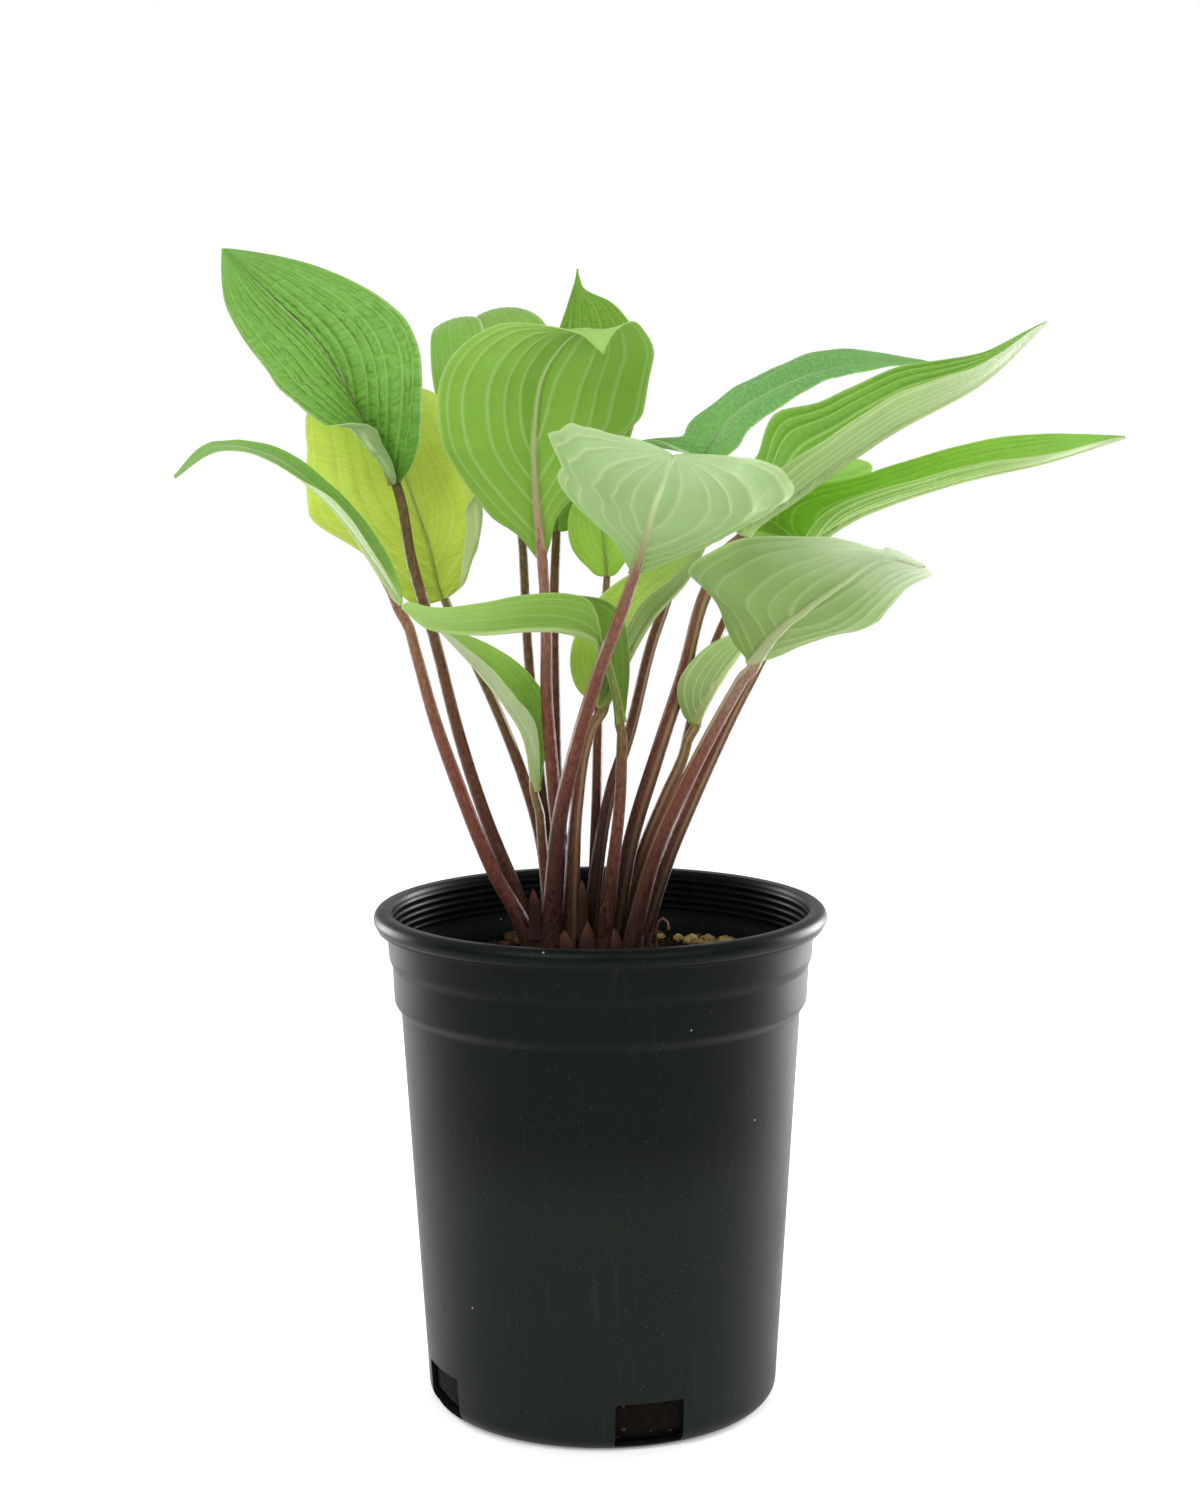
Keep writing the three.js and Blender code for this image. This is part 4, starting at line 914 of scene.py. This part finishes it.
def sheet_faces(rows, count):
    """Faces of a closed thin sheet of two layers, each of rows + 1 lines of count points."""
    shift = (rows + 1) * count
    faces = []
    for row in range(rows):
        for column in range(count - 1):
            a, b = row * count + column, row * count + column + 1
            c, d = b + count, a + count
            faces.append((a, b, c, d))
            faces.append((shift + a, shift + d, shift + c, shift + b))
        for a, d in ((row * count, (row + 1) * count), ((row + 2) * count - 1, (row + 1) * count - 1)):
            faces.append((a, d, shift + d, shift + a))
    for a in range(count - 1):
        faces.append((a, shift + a, shift + a + 1, a + 1))
        b = rows * count + a
        faces.append((b, b + 1, shift + b + 1, shift + b))
    return faces


def scale_sheet(foot, tall, wide, lean, turn):
    """Points and heights of one scale: a thin sheet curled across and pointed at its tip."""
    turn = math.radians(turn)
    side = Vector((math.cos(turn), math.sin(turn), 0))
    out = Vector((math.sin(turn), -math.cos(turn), 0))
    points, along = [], []
    for layer in (0, -SCALE_THICKNESS):
        for row in range(SCALE_ROWS + 1):
            up = row / SCALE_ROWS
            torn = 1 + SCALE_TEAR * noise.noise(Vector((up * 4, foot[0], foot[1])))
            half = wide / 2 * ((1 - up ** SCALE_POINT) * torn + 0.05)
            for column in range(SCALE_COLUMNS + 1):
                across = 2 * column / SCALE_COLUMNS - 1
                bow = lean * up ** 2 - SCALE_CURL * wide * across ** 2 * (1 - 0.6 * up) + layer
                points.append(Vector(foot) + side * (across * half) + out * bow + Vector((0, 0, tall * up)))
                along.append(up)
    return points, along


def scale_material():
    look = Look("papery_scale")
    stretched = look.add("ShaderNodeMapping", {"Vector": look.place, "Scale": (1.0, 1.0, 0.12)})
    fibre = mottle(look, 900.0, 2.6, stretched)
    tip = look.ramp(attribute(look, "along"), 0.6, 1.0, smooth=True)
    colour = look.over(tone(40, 22, 16), tone(92, 57, 44), tip)
    colour = look.over(colour, tone(66, 38, 27), fibre, 0.45)
    return look.finished({"Base Color": colour, "Roughness": 0.75, "Specular IOR Level": 0.2},
                         fibre, 0.0002, 0.6)


points, faces, along = [], [], []
for one in BUD_SCALES:
    new_points, new_along = scale_sheet(*one)
    faces += [tuple(len(points) + corner for corner in face)
              for face in sheet_faces(SCALE_ROWS, SCALE_COLUMNS + 1)]
    points += new_points
    along += new_along
scales = mesh_piece("bud_scales", points, faces, scale_material(), 60.0, {"along": ("FLOAT", along)})
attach(scales, "root")


# The leaf blades
# Thin, firm blades of leaf tissue. Veins leave the rib near the base, arch out along the blade
# and meet again at the tip; they are sunk on the upper face, with the tissue puckered between
# them, and stand up on the paler, matt under face, where the rib is a rounded ridge.

BLADE_GRID = (76, 42)
SMALL_GRID = (52, 24)
SMALL_REACH = 22
BLADE_BASE = 1.8
BLADE_TIP = 0.2
WIDEST_PLACE = 0.36
WAVE_COUNT = 2.5
WAVE_SHIFT = 2
FINE_WAVE = 0.22
UPPER_RISE = 0.3
PUCKER_SLOPE = 0.2
RIDGE_SHARE = 0.22
RIDGE_WIDTH = 0.11
RIB_SKIN = 0.7
MARGIN_SKIN = 0.35
RIB_CALM = 0.06
MARGIN_CALM = 0.1
BASE_CALM = 0.1
TIP_CALM = 0.25
OPEN_FROM = 2
OPEN_OVER = 9
EDGE_EASE = 0.025
VEIN_LAST = 0.42
VEIN_BEND = 0.25
VEIN_SPREAD = 2.2
VEIN_SWAY = 0.16
BLISTERS_ALONG = 34.0
RUNGS_ALONG = 80.0
LINE_WIDTH = 0.095
# The width of the painted shade along a vein's flanks, in steps of the vein coordinate.
FLANK_SHADE_WIDTH = 0.22


def vein_coordinate(place, shares, count):
    """Which vein runs at each share of a row, counted from the rib: whole numbers are veins."""
    numbers = np.linspace(0.0, 1.0, 121)
    start = VEIN_LAST * (1 - numbers) ** 1.2 - 0.06 * numbers
    run = np.clip((place - start) / VEIN_BEND, 0, None)
    spots = numbers * (1 - np.exp(-VEIN_SPREAD * run))
    keep = np.concatenate([[True], np.diff(np.maximum.accumulate(spots)) > 1e-7])
    return np.interp(shares, spots[keep], numbers[keep]) * (count + 0.5)


def outline(leaf, place):
    """How wide the blade is at a place between its base and its tip, from 0 to 1."""
    if place < WIDEST_PLACE:
        return (1 - (1 - place / WIDEST_PLACE) ** 2) ** leaf["heel"]
    return math.cos((place - WIDEST_PLACE) / (1 - WIDEST_PLACE) * math.pi / 2) ** leaf["taper"]


def edge_at(profile, place):
    """A margin's width factor and its lift in millimetres at a place, from its list in the leaf."""
    if not profile:
        return 1.0, 0.0
    places, factors, lifts = zip(*((*mark, 0)[:3] for mark in profile))
    near = place + EDGE_EASE * np.linspace(-1, 1, 7)
    return np.interp(near, places, factors).mean(), np.interp(near, places, lifts).mean()


def rolled(roll, place, out, drop, width):
    """A half's section with its outer part rolled up and over, or down for a negative radius."""
    if not roll:
        return out, drop
    first, last, share, radius, limit = roll
    ease = smooth_step(first, mix(first, last, 0.3), place)
    ease *= 1 - smooth_step(mix(first, last, 0.7), last, place)
    if ease < 1e-3:
        return out, drop
    over = np.clip(out - share * width, 0, None)
    angle = np.minimum(over / abs(radius), limit) * ease
    bend = ease / abs(radius)
    straight = over - np.minimum(over, limit * abs(radius))
    out = out - over + np.sin(angle) / bend + straight * np.cos(angle)
    return out, drop - ((1 - np.cos(angle)) / bend + straight * np.sin(angle)) * math.copysign(1, radius)


def blade_half(leaf, line, places, shares, side):
    """Points of one half of the blade's middle surface, row by row, and the half's widths."""
    points = np.zeros((len(places), len(shares), 3))
    widths = np.zeros(len(places))
    wave_shift, fine_shift = (0, 0) if side == "left" else (WAVE_SHIFT, 1.3)
    for row, place in enumerate(places):
        at = mix(base_of(leaf), 1.0, place)
        near = [min(max(place + shift, 0), 1) for shift in (-EDGE_EASE, 0, EDGE_EASE)]
        first, second, third = [reach_at(leaf[side], spot) for spot in near]
        reach = (first + second + third) / 3
        ahead = line.ahead(min(at, 1 - 1e-3))
        flat = reach - ahead * reach.dot(ahead)
        length = reach.length
        reach = flat.lerp(reach, smooth_step(0.0, 0.06, place))
        width = max(outline(leaf, place) * length, mix(BLADE_BASE, BLADE_TIP, place))
        upward = ahead.cross(reach).normalized()
        if side == "right":
            upward.negate()
        factor, lift = edge_at(leaf.get(side + "_edge"), place)
        width *= factor
        swing = math.sin(place * WAVE_COUNT * 2 * math.pi + wave_shift)
        fine = math.sin(place * WAVE_COUNT * 6.3 * math.pi + leaf["wave"] * 9 + fine_shift)
        ripple = math.sin(place * math.pi) * (swing + FINE_WAVE * fine)
        sag = leaf["cup"] * width * 4 * shares * (1 - shares)
        drop = sag + leaf["wave"] * shares ** 2 * ripple - lift * shares ** 2.5
        out, drop = rolled(leaf.get(side + "_roll"), place, shares * width, drop, width)
        points[row] = np.array(line.point(at)) + np.outer(out, reach.normalized()) - np.outer(drop, upward)
        widths[row] = width
    return points, widths


def blade_mesh(leaf, rows, columns):
    """Points, faces and growth attributes of the whole blade as a closed thin body."""
    line = GrowthLine(leaf["line"])
    places = (1 - np.cos(np.pi * np.arange(rows + 1) / rows)) / 2
    shares = (np.arange(columns + 1) / columns) ** 1.25
    left, left_widths = blade_half(leaf, line, places, shares, "left")
    right, right_widths = blade_half(leaf, line, places, shares, "right")
    middle = np.concatenate([left[:, :0:-1], right], axis=1)
    normals = np.cross(np.gradient(middle, axis=1), np.gradient(middle, axis=0))
    normals /= np.linalg.norm(normals, axis=2, keepdims=True) + 1e-12
    vein = np.zeros(middle.shape[:2])
    reach_mm = np.zeros(middle.shape[:2])
    for row, place in enumerate(places):
        half = vein_coordinate(place, shares, leaf["veins"])
        sway = VEIN_SWAY * np.sin(half * 2.1 + place * 2.0 + np.array([[0.4], [2.6]]) + leaf["veins"])
        vein[row] = np.concatenate([(half + sway[0])[:0:-1], half + sway[1]])
        reach_mm[row] = np.concatenate([shares[:0:-1] * left_widths[row], shares * right_widths[row]])
    count = middle.shape[1]
    place_grid = np.repeat(places[:, None], count, axis=1)
    share_grid = np.repeat(np.concatenate([shares[:0:-1], shares])[None, :], rows + 1, axis=0)
    breadth = np.concatenate([np.repeat(left_widths[:, None], columns, axis=1),
                              np.repeat(right_widths[:, None], columns + 1, axis=1)], axis=1)
    # The tissue lies calm along the rib and the margin, at the base and towards the tip.
    calm = np.clip(share_grid / RIB_CALM, 0, 1) * np.clip((1 - share_grid) / MARGIN_CALM, 0, 1)
    calm = calm * np.clip(place_grid / BASE_CALM, 0, 1) * np.clip((1 - place_grid) / TIP_CALM, 0, 1)
    open_part = np.clip((breadth - OPEN_FROM) / OPEN_OVER, 0, 1)
    depth = PUCKER_SLOPE * leaf["pucker"] * (breadth / (leaf["veins"] + 0.5)) * calm * open_part ** 2
    turn = vein % 1.0
    middle = middle + normals * ((4 * turn * (1 - turn) - 0.5) * depth)[..., None]
    girth = leaf["girth"][1]
    rib_reach = mix(girth / 2, 0.5, places ** 0.6)[:, None]
    rib_depth = np.minimum(mix(girth - 0.9, 0.45, places ** 0.45)[:, None], 0.5 * breadth + 0.4)
    rib = np.sqrt(np.clip(1 - (reach_mm / (rib_reach * 1.15)) ** 2, 0, None))
    skin = mix(RIB_SKIN, MARGIN_SKIN, share_grid)
    ridge = RIDGE_SHARE * depth * np.exp(-(np.minimum(turn, 1 - turn) / RIDGE_WIDTH) ** 2)
    rise = UPPER_RISE * np.clip(reach_mm / 1.5, 0, 1)
    upper = middle + normals * rise[..., None]
    under = middle + normals * (rise - skin - rib * rib_depth - ridge)[..., None]
    points = np.concatenate([upper.reshape(-1, 3), under.reshape(-1, 3)])
    growth = np.stack([place_grid, share_grid, rib * np.clip(1.3 - place_grid, 0, 1)], axis=2)
    attributes = {"under": ("FLOAT", np.repeat([0.0, 1.0], middle[..., 0].size))}
    for label, kind, values in (("growth", "FLOAT_VECTOR", growth), ("vein", "FLOAT", vein),
                                ("open", "FLOAT", open_part)):
        attributes[label] = (kind, np.concatenate([values, values]))
    return points, sheet_faces(rows, count), attributes


# Thin lines where the vein coordinate is a whole number.
VEIN_LINES, given, result = node_group(
    "vein_lines", "ShaderNodeTree", {"Coordinate": "Float", "Width": "Float"}, {"Line": "Float"})
part = VEIN_LINES.math("FRACT", given["Coordinate"])
near = VEIN_LINES.math("MINIMUM", part, VEIN_LINES.math("SUBTRACT", 1.0, part))
near = VEIN_LINES.math("POWER", VEIN_LINES.math("DIVIDE", near, given["Width"]), 2.0)
VEIN_LINES.feed(result, {"Line": VEIN_LINES.math("EXPONENT", VEIN_LINES.times(near, -1.0))})

# The two faces: the leaf's colours, how much they cloud, the veins' tone and their share of it,
# how dark the painted shade along a vein's flanks is and how strongly it shows, and how strongly the vein
# shows.
FACES = [
    ("up", 0.12, (206, 228, 140), 0.5, 0.72, 0.4, 0.6),
    ("down", 0.07, (222, 232, 180), 0.55, 0.8, 0.22, 0.85),
]


def shade(colour, factor):
    return tuple(min(c * factor, 1.0) for c in colour[:3]) + (1.0,)


def toward(colour, other, share):
    return tuple(mix(c, d, share) for c, d in zip(colour[:3], other[:3])) + (1.0,)


def face_colour(look, tones, along, cloud, contrast):
    """One face's tissue: its three tones from base to tip, clouded darker and lighter."""
    clouded = []
    for factor in (1 - contrast, 1 + contrast):
        base, middle, tip = [shade(tone(*one), factor) for one in tones]
        colour = look.over(base, middle, look.ramp(along, 0.0, 0.4, smooth=True))
        clouded.append(look.over(colour, tip, look.ramp(along, 0.5, 0.95, smooth=True)))
    return look.over(*clouded, cloud)


def blade_material(leaf):
    look = Look(leaf["name"] + "_tissue")
    growth = attribute(look, "growth", "Vector")
    along, share, rib = look.add("ShaderNodeSeparateXYZ", {0: growth}, slice(0, 3))
    vein, under, open_part = [attribute(look, name) for name in ("vein", "under", "open")]
    fine_lines, soft = [
        look.times(look.add("ShaderNodeGroup", {"Coordinate": vein, "Width": width}, "Line",
                            node_tree=VEIN_LINES.tree), open_part)
        for width in (LINE_WIDTH, FLANK_SHADE_WIDTH)]
    # Painted shade: a band along each side of a vein, where the tissue dips to it.
    flank_shade = look.math("SUBTRACT", soft, fine_lines, clamp=True)
    cloud = mottle(look, 75.0, 1.8)
    grain = mottle(look, 900.0, 1.8)
    sides = []
    for face, contrast, vein_tone, paleness, dark, flank_shade_share, line_share in FACES:
        middle = tone(*leaf[face][1])
        vein_colour = toward(middle, tone(*vein_tone), paleness)
        colour = face_colour(look, leaf[face], along, cloud, contrast)
        # Painted shade darkens the tissue along the flanks of each vein.
        colour = look.over(colour, shade(middle, dark), flank_shade, flank_shade_share)
        colour = look.over(colour, vein_colour, fine_lines, line_share * leaf["lines"])
        sides.append((colour, vein_colour))
    (face_up, _), (face_down, vein_down) = sides
    # Fine rungs of small veins run across between the long ones.
    up, hatch = tone(*leaf["up"][1]), leaf.get("hatch", 0.35)
    ladder = look.add("ShaderNodeCombineXYZ", {0: look.times(vein, 1.3), 1: look.times(along, RUNGS_ALONG)})
    ladder = look.add("ShaderNodeTexNoise", {"Vector": ladder, "Scale": 1.0, "Detail": 2.0}, "Fac")
    rungs = look.times(look.ramp(ladder, 0.42, 0.62), look.math("POWER", open_part, 3.0))
    face_up = look.over(face_up, shade(up, 1.4), rungs, 0.45 * hatch)
    blister = look.add("ShaderNodeCombineXYZ", {0: vein, 1: look.times(along, BLISTERS_ALONG)})
    blister = look.add("ShaderNodeTexNoise", {"Vector": blister, "Scale": 1.0, "Detail": 1.0}, "Fac")
    blister = look.times(look.ramp(blister, 0.3, 0.7, smooth=True),
                         look.math("SUBTRACT", 1.0, soft, clamp=True))
    blister = look.times(blister, look.ramp(along, 0.6, 0.95, leaf.get("blister", 0.1), 0.0))
    colour = look.over(face_up, face_down, under)
    colour = look.over(colour, tone(206, 218, 160), open_part, look.ramp(share, 0.96, 0.995, 0.0, 0.35))
    rib_colour = look.over(tone(*leaf["tones"][-1]), vein_down, look.ramp(along, 0.1, 0.62))
    rib_mask = look.times(look.ramp(rib, 0.1, 0.6), look.ramp(under, 0.0, 1.0, 0.6, 0.85))
    colour = look.over(colour, rib_colour, rib_mask, look.ramp(along, 0.7, 0.9, 1.0, 0.2))
    colour = look.over(colour, shade(up, 0.6), grain, 0.14)
    rough = look.math("ADD", look.ramp(under, 0.0, 1.0, 0.4, 0.6), look.times(cloud, 0.1))
    height = look.math("ADD", look.times(rungs, 0.3 + 0.4 * hatch), look.times(grain, 0.3))
    height = look.math("ADD", height, look.times(blister, 4.5))
    return look.finished({"Base Color": colour, "Roughness": rough, "Specular IOR Level": 0.28,
                          "Subsurface Weight": 0.12, "Subsurface Radius": (0.8, 1.0, 0.4),
                          "Subsurface Scale": 0.0012}, height, 0.00025, 0.7)


for leaf in LEAVES:
    small = max(Vector(way).length for way in leaf["left"] + leaf["right"]) < SMALL_REACH
    points, faces, attributes = blade_mesh(leaf, *(SMALL_GRID if small else BLADE_GRID))
    blade = mesh_piece(leaf["name"] + "_tissue", points, faces, blade_material(leaf), 55.0, attributes)
    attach(blade, "root")
    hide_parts(leaf["name"] + "_blade")


# The studio
# A white floor in a white room that lights softly from all round, with a large soft lamp high
# at the left, a fill at the right, and two small upright lamps behind that draw the pale edges
# on the sides of the pot.

FLOOR_SIZE = 2.4
FLOOR_WHITE = 0.92
FLOOR_GLOW = 0.26
ROOM_FRONT = 0.36
ROOM_BACK = 0.85
ROOM_TOP = 0.66
# The camera's place in millimetres, its turns in degrees and its lens in pixels of the frame.
CAMERA_PLACE = (0.2, -1000, 378.1)
CAMERA_PITCH = 7.83
CAMERA_ROLL = -0.30
FOCAL_PIXELS = 2789
FRAME_HEIGHT = 1500
# Each lamp's place, the height on the pot's axis that it looks at, and its width and height, all
# in metres, and its power in watts.
LAMPS = [
    ("key", (-0.7, -1.1, 1.4), 0.3, 1.2, 1.2, 17.0),
    ("fill", (0.9, -1.1, 1.2), 0.3, 1.0, 1.0, 8.0),
    ("left_edge", (-0.85, 0.75, 0.2), 0.12, 0.3, 0.5, 9.2),
    ("right_edge", (0.8, 0.65, 0.2), 0.12, 0.3, 0.5, 16.5),
]
WHITE = (1.0, 1.0, 1.0, 1.0)

look = Look("studio_floor")
look.feed(look.shader, {"Base Color": (FLOOR_WHITE, FLOOR_WHITE, FLOOR_WHITE, 1.0), "Emission Color": WHITE,
                        "Emission Strength": FLOOR_GLOW, "Roughness": 0.9})
half = FLOOR_SIZE / 2 / MM
floor = mesh_piece("studio_floor", [(-half, -half, 0), (half, -half, 0), (half, half, 0), (-half, half, 0)],
                   [(0, 1, 2, 3)], look.material)

scene = bpy.context.scene
world = bpy.data.worlds.new("white_room")
scene.world = world
world.use_nodes = True
room = Nodes(world.node_tree)
seen = world.node_tree.nodes["Background"]
room.feed(seen, {"Color": WHITE})
way = room.add("ShaderNodeTexCoord", output="Generated")
across, deep, high = room.add("ShaderNodeSeparateXYZ", {0: way}, slice(0, 3))
depth = room.ramp(deep, -0.5, 0.5, ROOM_FRONT, ROOM_BACK, smooth=True)
above = room.times(room.ramp(high, 0.3, 0.9, smooth=True), room.math("SUBTRACT", ROOM_TOP, depth))
lit = room.add("ShaderNodeBackground", {"Color": WHITE, "Strength": room.math("ADD", depth, above)})
to_camera = room.add("ShaderNodeLightPath", output="Is Camera Ray")
both = room.add("ShaderNodeMixShader", {0: to_camera, 1: lit, 2: seen.outputs[0]})
room.feed(world.node_tree.nodes["World Output"], {"Surface": both})
scene.view_settings.view_transform = "Standard"

for name, place, aim, width, height, power in LAMPS:
    lamp_data = bpy.data.lights.new(name, "AREA")
    lamp_data.shape, lamp_data.size, lamp_data.size_y, lamp_data.energy = "RECTANGLE", width, height, power
    lamp = new_object(name, lamp_data)
    lamp.location = place
    lamp.rotation_euler = (Vector((0.0, 0.0, aim)) - Vector(place)).to_track_quat("-Z", "Y").to_euler()

camera_data = bpy.data.cameras.new("camera")
camera_data.sensor_width = 36.0
camera_data.lens = FOCAL_PIXELS / FRAME_HEIGHT * camera_data.sensor_width
camera_data.clip_end = 20.0
camera = new_object("camera", camera_data)
camera.matrix_world = (Matrix.Translation([c * MM for c in CAMERA_PLACE])
                       @ Matrix.Rotation(math.radians(90 - CAMERA_PITCH), 4, "X")
                       @ Matrix.Rotation(math.radians(CAMERA_ROLL), 4, "Z"))
scene.camera = camera
